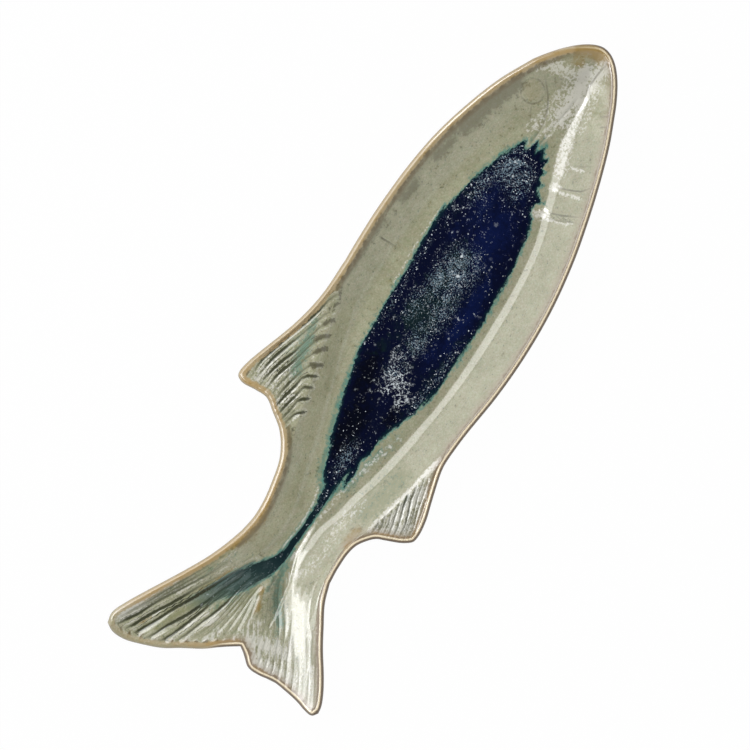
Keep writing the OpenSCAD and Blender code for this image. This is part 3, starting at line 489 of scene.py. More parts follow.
# then the tones that the glaze takes; the whitish strokes also lay painted highlights and painted light, and the dark
# strokes painted shade
strokes = {
    "ochre": [
        ([(-16, 113), (6, 103), (30, 90), (55, 77), (80, 65)], 3.4, .85),
        ([(84, 61), (100, 54), (118, 51), (140, 53)], 4.6, 1.1), ([(140, 53), (160, 56), (178, 62)], 3.2, .5),
        ([(28, 66), (45, 58), (62, 50)], 2.4, .8), ([(-32, 102), (-22, 96)], 2, .6), ([(-8, 79), (10, 73)], 2, .35),
        ([(38, 8), (50, 11), (60, 15)], 3.2, .95), ([(100, -35), (106, -33)], 3.5, .7),
        ([(140, -35), (150, -34), (162, -37)], 4.6, .8), ([(231, 137), (231, 126), (230, 116)], 3.2, .9),
        ([(226, 108), (216, 98), (205, 86)], 3.2, .9), ([(234, 141), (246, 143)], 3, .5),
        ([(-14, 33), (-6, 22), (4, 9)], 3.2, .8), ([(-11, -19), (-10, -33)], 2.6, .6),
        ([(-10, -55), (-9, -58)], 2.2, .7), ([(-40, 84), (-30, 64), (-20, 45)], 2.2, .3),
        ([(688, 24), (694, 10), (693, -2)], 8.5, 1.35), ([(655, 56), (670, 44), (683, 30)], 5, .9),
        ([(677, 14), (684, 26)], 7, .7), ([(168, -51), (171, -60), (175, -71), (180, -84)], 1.8, .75),
        ([(182, -87), (200, -85), (230, -79), (262, -74)], 1.9, .5), ([(300, 96), (320, 92)], 3, .2)],
    "teal": [
        ([(176, 15), (200, 27.5), (225, 36), (255, 45), (290, 52), (325, 57)], 3.2, 1.0),
        ([(330, 59), (400, 60), (450, 60), (490, 58)], 1.6, .5),
        ([(520, 50.5), (545, 41.5), (565, 34), (580, 25)], 2.2, .7),
        ([(100, 20), (120, 16.5), (150, 14), (176, 15)], 2.2, .8), ([(264, 99), (282, 103), (300, 103)], 6.5, 1.1),
        ([(300, 106), (318, 108)], 4.5, .7), ([(262, 94), (272, 95)], 4, .7), ([(276, 116), (300, 113)], 4, .35),
        ([(204, -63.5), (216, -63)], 2.6, 1.0), ([(206, -69), (226, -68)], 4, .35),
        ([(190, -6), (215, -10), (240, -17)], 5, .8), ([(240, -20), (262, -25)], 4, .6), ([(180, 2), (196, -3)], 4, .9),
        ([(40, -19), (50, -10), (62, -2), (76, 4), (92, 7)], 5.5, .95), ([(92, 7), (130, 7), (180, 2)], 2.2, .8),
        ([(20, -27), (34, -20)], 3.5, .5), ([(60, 9), (80, 12)], 3, .6), ([(178, 20), (200, 31)], 3, .6),
        ([(16, 46), (34, 36), (54, 25)], 4, .5), ([(36, 15), (52, 11), (64, 15)], 4, .4),
        ([(175, -30), (200, -38), (225, -48)], 12, .25), ([(570, 3), (590, 3)], 4, .9), ([(572, 9), (596, 6)], 2, .9),
        ([(66, 62), (76, 54)], 2.5, .35), ([(40, 72), (60, 66)], 2.4, .35), ([(580, 18), (596, 15)], 2, .6)],
    "olive": [
        ([(180, -35), (200, -42), (230, -48)], 13, .8), ([(-26, 86), (0, 72), (20, 60)], 5, .8),
        ([(-30, 72), (-8, 64)], 3.5, .5), ([(-15, 92), (10, 76), (40, 60)], 3.5, .6), ([(20, 44), (40, 40)], 4, .6),
        ([(215, -70), (235, -72)], 5, .5), ([(22, -30), (30, -35)], 4, .4), ([(70, -30), (82, -32)], 6, .3),
        ([(30, 30), (52, 18)], 8, 1.0), ([(32, 13), (52, 8)], 6, .6), ([(198, -25), (224, -32)], 7, .6),
        ([(60, -12), (72, -17)], 5, .5), ([(-34, 96), (-24, 90)], 4, .6), ([(70, 28), (90, 22)], 4, .3),
        ([(622, 36), (634, 44)], 8, .4)],
    "umber": [
        ([(366, 105), (384, 104)], 4, .5), ([(386, 103), (440, 101)], 3.5, .8), ([(424, 97), (452, 95)], 4, .35),
        ([(468, 97), (490, 93)], 5.5, 1.1), ([(500, 95), (522, 91)], 3.5, .6), ([(520, 90), (545, 84)], 5.5, 1.1),
        ([(545, 88), (580, 80), (612, 66)], 4.5, .9), ([(562, 80), (596, 70), (626, 58)], 9, 1.25),
        ([(560, 74), (596, 62)], 6, .4), ([(230, 72), (236, 76)], 3, .3), ([(612, 66), (640, 57)], 3, .7),
        ([(160, 50), (200, 62)], 3, .35), ([(160, -30), (166, -44)], 3, .4)],
    # whitish strokes: breaks and crackle in the glaze, painted highlights along the head's crest, on the gills, at the
    # anal fin's root and on the lower lobe, and painted light over the tail's middle, the waist and the fins
    "paleAndHighlight": [
        ([(392, 61), (420, 61.5), (450, 61), (482, 59)], 1.2, .55),
        ([(574, -25), (590, -20), (606, -15), (622, -11), (640, -7), (656, -4.5)], 6.5, .8),
        ([(640, -7), (664, -6), (686, -10)], 9, .95), ([(656, -5), (674, -4), (692, -9)], 3.2, .8),
        ([(-6, -2), (-5, -56)], 10, 1.0), ([(12, -2), (16, -40)], 10, .9), ([(-34, 122), (-10, 110), (20, 94)], 7, .8),
        ([(10, 86), (34, 72)], 5, .5), ([(176, -62), (200, -66), (226, -72)], 9, .9),
        ([(180, -70), (190, -78)], 7, 1.0), ([(172, -52), (186, -54)], 5, .7),
        ([(92, -15), (124, -18), (160, -20), (186, -27)], 11, .3), ([(236, 112), (262, 104)], 10, .4),
        ([(240, 128), (262, 122)], 7, .7), ([(228, 98), (242, 90)], 7, .7),
        ([(215, -13), (240, -19), (262, -26)], 4, .45),
        ([(30, -54), (48, -40), (62, -30), (80, -16), (100, -8)], 6, .2),
        ([(-16, -84), (4, -76), (30, -63), (56, -50)], 9, .3), ([(-12, 36), (2, 31)], 5, .6),
        ([(-10, -24), (-2, -22)], 3, .5), ([(-12, -42), (0, -38)], 3, .6), ([(-14, -60), (6, -50), (30, -38)], 6, .5),
        ([(-38, 90), (-24, 83), (-8, 76)], 2.4, .2), ([(-36, 102), (-20, 94)], 2.0, .25),
        ([(-28, 66), (-8, 58), (12, 49)], 2.2, .5), ([(-22, 53), (0, 43), (24, 36)], 3.0, .45),
        ([(-39, 112), (-24, 104)], 2, .25), ([(-8, 10), (14, 6), (26, 0)], 11, .4), ([(0, -16), (20, -20)], 8, .5),
        ([(172, -60), (200, -62)], 8, .5), ([(180, -76), (215, -72)], 8, .45), ([(524, -24), (529, -33)], 5.5, .9),
        ([(526, -38), (529, -50), (533, -62)], 1.7, .9), ([(557, -27), (560, -31)], 4.5, .8),
        ([(556, -36), (558, -46), (560, -56)], 1.7, .9), ([(583, -32), (584.5, -44)], 2.2, .6),
        ([(660, 38), (665, 14)], 8, .75), ([(650, 48), (662, 36)], 4.5, .5), ([(600, 5), (622, 5)], 5, .45),
        ([(598, 22), (640, 14)], 8, .5), ([(84, -3), (96, -14)], 6, .45), ([(620, 2), (646, 1), (672, 4)], 9, 1.1),
        ([(640, 10), (660, 16)], 6, .5), ([(620, -22), (665, -16)], 6, .35),
        ([(166, -46.5), (190, -52), (215, -58.5), (240, -65), (262, -70)], 2.2, 1.0),
        ([(272, 65), (300, 71), (340, 75)], 5, .15), ([(575, 12), (600, 9.5), (618, 6)], 2.0, .6),
        ([(560, 14), (585, 18)], 1.5, .5), ([(100, 4), (140, 3), (180, -3), (220, -11)], 2.6, .5),
        ([(105, 18), (135, 14.5), (160, 15), (176, 19)], 1.3, .7)],
    # dark strokes: painted shade in the notches between the dorsal fin's ray ends at its root, and dark specks on the
    # head
    "inkAndShade": [
        ([(336, 100.5), (341, 100), (345, 97)], 2.6, .8), ([(349, 98), (356, 101), (362, 103)], 2.6, .6),
        ([(320, 98), (323, 97), (328, 92.5)], 3.0, .85), ([(303, 98), (308, 94), (312, 89)], 3.0, 1),
        ([(291, 92), (295, 89), (300, 85)], 3.0, 1), ([(279, 88), (281, 84), (284, 79.5)], 2.7, 1),
        ([(196, 64), (206, 68), (217, 71)], 2.6, .5), ([(267, 86), (271, 79)], 1.5, .5),
        ([(256, 83), (259, 77)], 1.3, .4), ([(640.5, 54), (642, 53.5)], 1.7, 1), ([(656.5, 46), (657, 44)], 1.6, 1),
        ([(652, 30), (656, 20)], 1.6, .3)],
}
streamEdge = [
    (0, 76), (12, 73), (24, 67), (40, 59), (60, 47.5), (74, 37.5), (86, 27), (96, 20), (106, 16.3), (120, 14),
    (140, 12.5), (160, 11), (178, 12.5), (215, 22), (215, 4), (178, 3), (160, 5.5), (140, 6.5), (120, 7.5), (104, 9),
    (92, 10), (80, 12), (68, 18), (56, 25), (44, 33), (30, 43.5), (16, 55), (4, 63)]
streamFade = ([4, 22, 45, 74, 100], [0, .4, .75, .92, 1])  # how strong the stream is along the fish
poolEdge = [
    (140, 12.5), (160, 10.5), (178, 13), (200, 25.5), (225, 33.5), (250, 41.5), (275, 47), (300, 52), (320, 55),
    (360, 57), (400, 57), (450, 57), (480, 56), (500, 52), (520, 46.5), (540, 40), (560, 33), (572, 27), (586, 20),
    (576, 16), (590, 10), (577, 5.5), (588, 0), (574, -3), (579, -9), (568, -8), (566, -14), (559, -11.5), (554, -18),
    (548, -14.5), (541, -20), (539, -28), (534, -21), (527, -19), (518, -26), (500, -31), (480, -34), (450, -37),
    (400, -38), (340, -35), (310, -31), (290, -26), (276, -19), (262, -14), (250, -10), (236, -8), (222, -4), (204, -5),
    (188, -4), (196, -1), (208, 1), (194, 2.5), (176, 5), (150, 6.5), (140, 6.5)]
# clouds: the middle of each, its reach along and across, and how thick it is
clouds = {
    "crystal": [
        ((436, 12), (28, 22), 1.15), ((418, 24), (28, 12), 1.1), ((395, 4), (34, 14), .9), ((455, 5), (14, 14), .6),
        ((316, 12), (18, 13), .8), ((334, 16), (16, 9), .6), ((358, 10), (24, 13), .95), ((304, -6), (14, 8), .3),
        ((375, 52), (44, 7), .5), ((430, 52), (36, 6), .5), ((385, 30), (26, 14), .7), ((480, 48), (30, 8), .35),
        ((520, 36), (24, 11), .8), ((545, 30), (14, 8), .8), ((552, 20), (22, 16), 1.15), ((545, 2), (24, 12), .95),
        ((570, 20), (14, 8), .8), ((215, 10), (24, 10), .75), ((232, 18), (22, 12), .25), ((262, 0), (20, 14), .25),
        ((300, -24), (34, 8), .65), ((345, -28), (40, 6), .6), ((400, -34), (30, 4), .2), ((400, -5), (46, 10), .35),
        ((500, 22), (30, 14), .3), ((165, 9), (16, 5), .5), ((530, -16), (16, 6), .4)],
    "foam": [
        ((308, 7), (17, 15), .9), ((296, -8), (12, 9), .8), ((328, 18), (13, 8), .5)],
    "green": [
        ((385, 18), (52, 20), 1.0), ((350, 34), (40, 14), .6), ((440, 18), (28, 16), .7), ((330, -22), (40, 10), .5),
        ((215, 14), (30, 8), .5), ((510, 45), (30, 10), .4)],
    "blue": [
        ((480, 0), (44, 22), 1.0), ((400, -20), (56, 11), 1.0), ((505, 22), (34, 16), .8), ((470, 34), (20, 8), .5),
        ((350, -10), (30, 10), .6), ((285, 5), (14, 8), .35), ((530, -5), (14, 10), .6)],
    "black": [
        ((245, 22), (44, 16), 1.0), ((300, 36), (34, 14), .9), ((360, 50), (40, 8), .4), ((275, -8), (20, 10), .7)],
}
eye = {"place": (629, 40.5), "radius": 12.2, "rise": .3, "rim": .3}
sponge = {"finTurns": 14, "headTurns": 46, "lobeReach": 48, "lobeSpread": 19.0}  # how much the clay was smoothed
rimSoft = .3


def segmentDistance(x, y, points):
    # distance to a line of points with its sign for the side, and the count along it of the nearest place
    points = np.array(points, float)[:, :2]
    best, where, hand = np.full(x.shape, 1e9), np.zeros(x.shape), np.ones(x.shape)
    for k in range(len(points) - 1):
        a, b = points[k], points[k + 1]
        length = ((b - a) ** 2).sum()
        t = np.clip(((x - a[0]) * (b[0] - a[0]) + (y - a[1]) * (b[1] - a[1])) / max(length, 1e-9), 0, 1)
        far = np.hypot(x - a[0] - t * (b[0] - a[0]), y - a[1] - t * (b[1] - a[1]))
        nearer = far < best
        cross = (b[0] - a[0]) * (y - a[1]) - (b[1] - a[1]) * (x - a[0])
        where, hand = np.where(nearer, k + t, where), np.where(nearer, np.sign(cross), hand)
        best = np.minimum(best, far)
    return best, where, hand


def signedDistance(x, y, ring):
    # positive inside the ring
    ring = np.array(ring, float)
    far = segmentDistance(x, y, np.vstack([ring, ring[:1]]))[0]
    inside = np.zeros(x.shape, bool)
    for a, b in zip(ring, np.roll(ring, -1, 0)):
        inside ^= ((a[1] > y) != (b[1] > y)) & (x < (b[0] - a[0]) * (y - a[1]) / (b[1] - a[1] + 1e-12) + a[0])
    return np.where(inside, far, -far)


def withinReach(x, y, line, reach):
    low, high = line.min(0) - reach, line.max(0) + reach
    return (x > low[0]) & (x < high[0]) & (y > low[1]) & (y < high[1])


def cloudAt(x, y, spots):
    total = np.zeros(x.shape)
    for (cx, cy), (rx, ry), strength in spots:
        total = np.maximum(total, strength * np.exp(-((x - cx) / rx) ** 2 - ((y - cy) / ry) ** 2))
    return total


def strokesAt(x, y, brushed):
    total = np.zeros(x.shape)
    for line, width, strength in brushed:
        near = withinReach(x, y, np.array(line, float), 3 * width)
        if near.any():
            far = segmentDistance(x[near], y[near], line)[0]
            total[near] = np.maximum(total[near], strength * np.exp(-(far / width) ** 2))
    return total


def groovesAt(x, y, lines, reach):
    # for each point the nearest groove: signed distance, nearness from 1 on it to 0 at its reach, and strength
    signed, near, dark = np.full(x.shape, 9.0), np.zeros(x.shape), np.zeros(x.shape)
    for line in lines:
        line = np.array(line, float)
        inside = withinReach(x, y, line, reach)
        if not inside.any():
            continue
        far, where, hand = segmentDistance(x[inside], y[inside], line)
        closer = 1 - far / reach
        better = closer > near[inside]
        strength = np.interp(where, np.arange(len(line)), line[:, 2])
        for kept, new in ((signed, far * hand), (dark, strength), (near, closer)):
            kept[inside] = np.where(better, new, kept[inside])
    return signed, near, dark


def merged(x, y, groups, source):
    # the nearest of all the grooves, and how far they press the face down
    out = [np.full(x.shape, 9.0), np.zeros(x.shape), np.zeros(x.shape)]
    sunk = np.zeros(x.shape)
    for name, reach, deep in groups:
        found = groovesAt(x, y, source[name], reach)
        better = found[1] > out[1]
        out = [np.where(better, new, old) for new, old in zip(found, out)]
        sunk = np.maximum(sunk, deep * np.clip(found[2] + .25, 0, 1) * ease(found[1]))
    return out, sunk


def wobble(x, y):
    # the hand in the clay: slow waves of a few hundredths to a few tenths of a millimetre
    return (.09 * np.sin(x / 31 + 1.3 * np.sin(y / 27)) * np.cos(y / 23 + .8 * np.sin(x / 41))
            + .035 * np.sin(x / 11 + y / 13) * np.sin(x / 17 - y / 9 + 2))


def softened(points, columns):
    # rounds the shelf's edge at the fins' roots and widens the fillet in the head, as a wet sponge would
    x, y = photoPlace(points)
    points, q = points.copy(), columns[None, :]
    shelf = fine.inFin[:, None] * ease((q - 4.2) / 1.2) * ease((7.8 - q) / 1.2)
    root = ease((x - 160) / 30) * ease((390 - x) / 20) * ease((q - 4.6) / 1.0) * ease((7.6 - q) / 1.0)
    head = ease((x - 545) / 70) * ease((q - 7) / 1.5) * ease((13.9 - q) / .8)
    for turns, share in ((sponge["finTurns"], np.maximum(shelf, root * .9)), (sponge["headTurns"], head)):
        share = share[:, 1:-1, None]
        for n in range(turns):
            around = (points[:, :-2] + points[:, 2:]) / 2
            points[:, 1:-1] += share * (around - points[:, 1:-1])
    # the lower lobe and the waist slope more slowly toward the belly
    wide = sponge["lobeReach"]
    reach = np.arange(-wide, wide + 1)
    weights = np.exp(-(reach / sponge["lobeSpread"]) ** 2)
    height = np.pad(points[..., 2], ((0, 0), (wide, wide)), mode="edge")
    smooth = sum(w * height[:, wide + k:wide + k + points.shape[1]] for k, w in zip(reach, weights / weights.sum()))
    share = ease((170 - x) / 70) * ease((np.interp(x, [40, 75, 110], [-10, -6, 4]) - y) / 3)
    share = share * ease((q - 3.4) / 2.2) * ease((14 - q) / 1.5)
    share = share * (fine.side < 0)[:, None]
    points[..., 2] += share * (smooth - points[..., 2])
    return points


def pressed(points, columns):
    # adds the rays, gills, eye and the hand's unevenness to the upper face
    x, y = photoPlace(points)
    inside = ease((columns - .9) / 1.3)[None, :]
    rise = -merged(x, y, rayGroups, grooves)[1] - merged(x, y, etchedGroups, etched)[1]
    rise = rise + dish["gillRelief"] * strokesAt(x, y, raised["gills"])
    rise = rise + strokesAt(x, y, raised["shoulder"])
    rise = rise + strokesAt(x, y, raised["scallops"])
    fromEye = np.hypot(x - eye["place"][0], y - eye["place"][1])
    rise = rise - eye["rim"] * np.exp(-((fromEye - eye["radius"]) / 1.8) ** 2)
    rise = rise + eye["rise"] * ease((eye["radius"] + 1 - fromEye) / 5)
    rise = rise * inside + wobble(x, y) * (.35 + .65 * inside)
    lifted = points.copy()
    lifted[..., 2] += rise
    # the last of it below the rim's height flattens out, so that nothing stands above the rim
    over = np.maximum(lifted[..., 2] - dish["rimHeight"] + rimSoft, 0)
    lifted[..., 2] = np.where(over > 0, dish["rimHeight"] - rimSoft * np.exp(-over / rimSoft), lifted[..., 2])
    return lifted


places = bodyPlaces()
fine = Outline(mesh["tailRows"], places, mesh["noseRows"], mesh["lip"])
tips = np.array([endPoint(side, q) for side in (1, -1) for q in np.linspace(0, 14, 60)])
lowCorner, highCorner = np.minimum(fine.edge.min(0), tips.min(0)), np.maximum(fine.edge.max(0), tips.max(0))
centre = (lowCorner + highCorner) / 2
print("outline drawn,", fine.count, "rows")
columns = np.concatenate([np.linspace(0, 2, mesh["lip"]), np.linspace(2, 14, mesh["columns"] + 1)[1:]])


def thinned(tailRows, bodyRows, noseRows, lip):
    kept = np.round(np.linspace(0, len(places) - 1, bodyRows)).astype(int)
    return Outline(tailRows, places[kept], noseRows, lip)


coarse, lower = thinned(*mesh["hidden"]), thinned(*mesh["outside"])


def gridFaces(cells, start=0, flip=False):
    # squares of a grid of points, for the cells that are kept
    i, k = np.nonzero(cells)
    count = cells.shape[1] + 1
    a = start + i * count + k
    quads = np.stack([a, a + 1, a + count + 1, a + count], -1)
    return quads[:, ::-1] if flip else quads


def rimRing(shape, start=0):
    # the open edge of a whole grid: down the first column, then along the last row and back along the first
    rows, count = shape[:2]
    grid = start + np.arange(rows * count).reshape(rows, count)
    return np.concatenate([grid[:, 0], grid[-1, 1:], grid[0, -2:0:-1], grid[0, :1]])


def strip(outer, inner, outerPoints, innerPoints):
    # triangles between two closed lines of points that run the same way
    def shares(line):
        far = np.concatenate([[0], np.cumsum(np.linalg.norm(np.diff(line, axis=0), axis=1))])
        return far / far[-1]
    a, b = shares(outerPoints), shares(innerPoints)
    faces, i, k = [], 0, 0
    while i < len(outer) - 1 or k < len(inner) - 1:
        if k == len(inner) - 1 or (i < len(outer) - 1 and a[i + 1] <= b[k + 1]):
            faces.append((outer[i], outer[i + 1], inner[k]))
            i += 1
        else:
            faces.append((outer[i], inner[k + 1], inner[k]))
            k += 1
    return faces


def sheetFaces(upper, under):
    # two whole sheets of their own fineness and the strip that joins their open edges
    start = upper.shape[0] * upper.shape[1]
    points = np.concatenate([upper.reshape(-1, 3), under.reshape(-1, 3)])
    faces = []
    for sheet, first, flip in ((upper, 0, False), (under, start, True)):
        whole = np.ones((sheet.shape[0] - 1, sheet.shape[1] - 1), bool)
        faces += [tuple(f) for f in gridFaces(whole, first, flip)]
    outer, inner = rimRing(upper.shape), rimRing(under.shape, start)
    return faces + [f[::-1] for f in strip(outer, inner, points[outer], points[inner])]


def shellFaces(outer, inner, cells):
    # two like sheets and the strip that closes their shared edge
    half = outer.shape[0] * outer.shape[1]
    quads = gridFaces(cells)
    flat = np.round(outer.reshape(-1, 3), 4)
    same = np.unique(flat, axis=0, return_inverse=True)[1].reshape(-1)
    seen = {}
    for f in quads:
        for n in range(4):
            one, two = f[n], f[(n + 1) % 4]
            if same[one] != same[two]:
                seen.setdefault((same[one], same[two]), (one, two))
    faces = [tuple(f) for f in quads] + [tuple(f[::-1] + half) for f in quads]
    return faces + [(b, a, a + half, b + half) for (one, two), (a, b) in seen.items() if (two, one) not in seen]


def makePiece(name, blocks, faces, node, fields=None):
    # one mesh from blocks of points in millimetres, doubles merged, smooth, in the place of a CAD node
    points = np.concatenate([b.reshape(-1, 3) for b in blocks])
    points = (points - [centre[0], centre[1], 0]) * .001
    data = bpy.data.meshes.new(name)
    data.from_pydata(points.tolist(), [], [tuple(int(i) for i in f) for f in faces])
    for key, values in (fields or {}).items():
        layer = data.attributes.new(key, "FLOAT_VECTOR", "POINT")
        layer.data.foreach_set("vector", np.asarray(values, np.float32).reshape(-1))
    piece = bpy.data.objects.new(name, data)
    bpy.context.collection.objects.link(piece)
    bpy.ops.object.select_all(action="DESELECT")
    piece.select_set(True)
    bpy.context.view_layer.objects.active = piece
    bpy.ops.object.mode_set(mode="EDIT")
    bpy.ops.mesh.select_all(action="SELECT")
    bpy.ops.mesh.remove_doubles(threshold=2e-6)
    bpy.ops.mesh.select_all(action="SELECT")
    bpy.ops.mesh.dissolve_degenerate(threshold=1e-7)
    bpy.ops.mesh.select_all(action="SELECT")
    bpy.ops.mesh.normals_make_consistent(inside=False)
    bpy.ops.mesh.delete_loose()
    bpy.ops.object.mode_set(mode="OBJECT")
    bpy.ops.object.shade_smooth()
    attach(piece, "root")
    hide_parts(node)
    print(name, len(data.polygons), "faces")
    return piece


def drawing(points, hidden):
    # what the glaze's colours follow, kept on each point, and plain sage for the hidden points after them
    x, y = photoPlace(points)
    ends = np.array([endPoint(side, q) for side in (1, -1) for q in np.linspace(0, 14, 120)])
    edge = np.vstack([fine.edge, ends])
    rim = kdtree.KDTree(len(edge))
    for n, p in enumerate(edge):
        rim.insert((p[0], p[1], 0), n)
    rim.balance()
    fromRim = np.array([rim.find((p[0], p[1], 0))[2] for p in points.reshape(-1, 3)]).reshape(x.shape) / pixel
    rays, etches = merged(x, y, rayGroups, grooves)[0], merged(x, y, etchedGroups, etched)[0]
    # the lower lobe's rays are fainter, those of the upper tip and the dorsal fin stronger
    rays[2] = rays[2] * np.select([(y < 8) & (x < 110), (y > 52) & (x < 40), (x > 200) & (y > 60)], [.62, 1.25, 1.3], 1)
    drawn = {
        "flow": [signedDistance(x, y, poolEdge), signedDistance(x, y, streamEdge), fromRim],
        "depths": [cloudAt(x, y, clouds[key]) for key in ("green", "blue", "black")],
        "rays": rays, "etches": etches,
        "tints": [strokesAt(x, y, strokes[key]) for key in ("ochre", "teal", "olive")],
        "shades": [strokesAt(x, y, strokes[key]) for key in ("umber", "paleAndHighlight", "inkAndShade")],
        "crystals": [cloudAt(x, y, clouds["crystal"]), cloudAt(x, y, clouds["foam"]), np.interp(x, *streamFade)],
    }
    plain = {"flow": (-60, -60, 60)}
    return {key: np.concatenate([np.stack(values, -1).reshape(-1, 3),
                                 np.tile(np.array(plain.get(key, (0, 0, 0)), float), (hidden, 1))])
            for key, values in drawn.items()}


# the sage coat: the whole upper face, with everything that is pressed or drawn into it
top = pressed(softened(surface(fine, columns, 0, True, -8), columns), columns)
upperColumns = np.array([0, .67, 1.33, 2, 2.6, 3.2, 4.1, 5, 6, 7, 8, 9, 10, 11, 12.5, 14])
bed = surface(coarse, upperColumns, coats["sageBed"], True, -8)
sageCoat = makePiece("sageCoat", [top, bed], sheetFaces(top, bed), "sage_glaze",
                     drawing(top, bed.shape[0] * bed.shape[1]))

# the lower coat: the walls' outside and the whole underside of the tail
lowColumns = np.concatenate([np.linspace(0, 2, 6), [2.4, 3, 3.5, 4, 4.5, 5, 5.5, 6, 6.5, 7]])
outer = surface(lower, lowColumns, 0, False)
inner = surface(lower, lowColumns, coats["lowerBed"], False)
outer[:, 0] = mixed(outer[:, 0], inner[:, 0], .12)
keep = np.ones((outer.shape[0] - 1, outer.shape[1] - 1), bool)
keep[np.ix_(~(lower.tail[:-1] | lower.tail[1:]), lowColumns[:-1] >= 5)] = False
undersideCoat = makePiece("undersideCoat", [outer, inner], shellFaces(outer, inner, keep),
                          "underside_glaze")

# the clay under both coats, seen bare inside the glaze line
upperClay = surface(coarse, upperColumns, coats["clayTop"], True, 0)
clayColumns = np.array([0, .67, 1.33, 2, 2.5, 3, 4, 5, 5.5, 6, 6.5, 7])
lowerClay = surface(coarse, clayColumns, coats["clayBelow"], False, 0)
clayBody = makePiece("clayBody", [upperClay, lowerClay], sheetFaces(upperClay, lowerClay),
                     "stoneware_body")

# the blue pool: a shallow lens of the second glaze on the floor, from one pixel along the fish to another
poolSize = {"from": 136, "to": 594, "rise": .02, "most": .6, "sunk": .05, "thick": .5, "endRun": 40}
poolColumns = np.linspace(12, 14, 30)
rowPixels = fine.x / pixel - notch
mine = ~fine.tail & (fine.fan == 0) & (rowPixels > poolSize["from"]) & (rowPixels < poolSize["to"])
lens = pressed(surface(fine, poolColumns, 0, True, -8), poolColumns)
under = lens.copy()
under[..., 2] -= poolSize["thick"]
share = (poolColumns - 12) / 2
ends = (ease((rowPixels - poolSize["from"]) / poolSize["endRun"])
        * ease((poolSize["to"] - rowPixels) / poolSize["endRun"]))
wide = np.linalg.norm(fine.middle - fine.pool, axis=1)
wide = (wide + wide[::-1]) / 2
swell = (1 - (1 - share) ** 2)[None, :] * (np.minimum(poolSize["rise"] * wide, poolSize["most"]) * ends)[:, None]
lens[..., 2] += swell - poolSize["sunk"]
poolCells = np.repeat((mine[:-1] & mine[1:])[:, None], len(poolColumns) - 1, 1)
bluePool = makePiece("bluePool", [lens, under], shellFaces(lens, under, poolCells), "blue_glaze_pool",
                     drawing(lens, under.shape[0] * under.shape[1]))

# the foot ring
ring = {"inset": 2.5, "width": 7.0, "clear": .14, "steps": 240, "round": 1.1, "into": .3}


def footLine(inset, z):
    turn = np.linspace(0, 2 * np.pi, ring["steps"], endpoint=False)
    back = waistEdge + ring["clear"] * (frontEdge - waistEdge)
    front = frontEdge - ring["clear"] * (frontEdge - waistEdge)
    x = mixed(back + inset, front - inset, (1 + np.cos(turn)) / 2)
    sides = {}
    for side in (1, -1):
        gap = np.linalg.norm(np.stack([x, readTable(spineTable, x)], -1) - bodyEdge(side, x), axis=1) - land
        reach = np.minimum(readTable(edgeTable(side), x, 2), gap * dish["wallLimit"])
        sides[side] = side * readTable(edgeTable(side), x) - side * (land + reach + inset)
    bulge = np.sign(np.sin(turn)) * np.sqrt(np.abs(np.sin(turn)))
    y = (sides[1] + sides[-1]) / 2 + (sides[1] - sides[-1]) / 2 * bulge
    return np.stack([x, y, np.full(len(x), float(z))], -1)


high, r, w = dish["foot"] + ring["into"], ring["round"], ring["width"]
profile = [(0, high), (0, r), (r * .29, r * .29), (r, 0), (w - r, 0), (w - r * .29, r * .29), (w, r), (w, high)]
loops = [footLine(ring["inset"] + far, z) for far, z in profile]
number = np.arange(len(loops) * ring["steps"]).reshape(len(loops), -1)
after, across = np.roll(number, -1, 1), np.roll(number, -1, 0)
faces = np.stack([number, after, np.roll(across, -1, 1), across], -1).reshape(-1, 4)
footRing = makePiece("footRing", [np.concatenate(loops)], faces, "foot_ring")


def tone(r, g, b):
    # a colour as a paint chart gives it, 0 to 255
    return tuple((c / 255 / 12.92 if c < 10.3 else ((c / 255 + .055) / 1.055) ** 2.4) for c in (r, g, b)) + (1,)


class Field:
    # a number, place or colour that varies over a surface: sums, products and steps of it become nodes
    def __init__(self, tree, socket):
        self.tree, self.socket = tree, socket

    def worked(self, what, *others):
        return addNode(self.tree, "Math", dict(enumerate(others)), operation=what)

    def __add__(self, other):
        return self.worked("ADD", self, other)

    def __sub__(self, other):
        return self.worked("SUBTRACT", self, other)

    def __rsub__(self, other):
        return self.worked("SUBTRACT", other, self)

    def __mul__(self, other):
        return self.worked("MULTIPLY", self, other)

    def __abs__(self):
        return self.worked("ABSOLUTE", self)

    __radd__, __rmul__ = __add__, __mul__

    def most(self, other):
        return self.worked("MAXIMUM", self, other)

    def step(self, low, high, start=0, end=1):
        # start at low and end at high, eased
        if low > high:
            low, high, start, end = high, low, end, start
        return addNode(self.tree, "MapRange", {"Value": self, "From Min": low, "From Max": high, "To Min": start,
                                               "To Max": end}, "Result", interpolation_type="SMOOTHSTEP")


def settle(tree, node, inputs):
    # links or sets a node's inputs
    for key, value in inputs.items():
        if isinstance(value, Field):
            tree.links.new(value.socket, node.inputs[key])
        else:
            node.inputs[key].default_value = value


def addNode(tree, kind, inputs, *wanted, **settings):
    # a new node, and the outputs of it that are wanted
    node = tree.nodes.new("ShaderNode" + kind)
    for key, value in settings.items():
        setattr(node, key, value)
    settle(tree, node, inputs)
    found = [Field(tree, node.outputs[key]) for key in wanted or (0,)]
    return found[0] if len(found) == 1 else found


def blend(a, b, share):
    return a + (b - a) * share


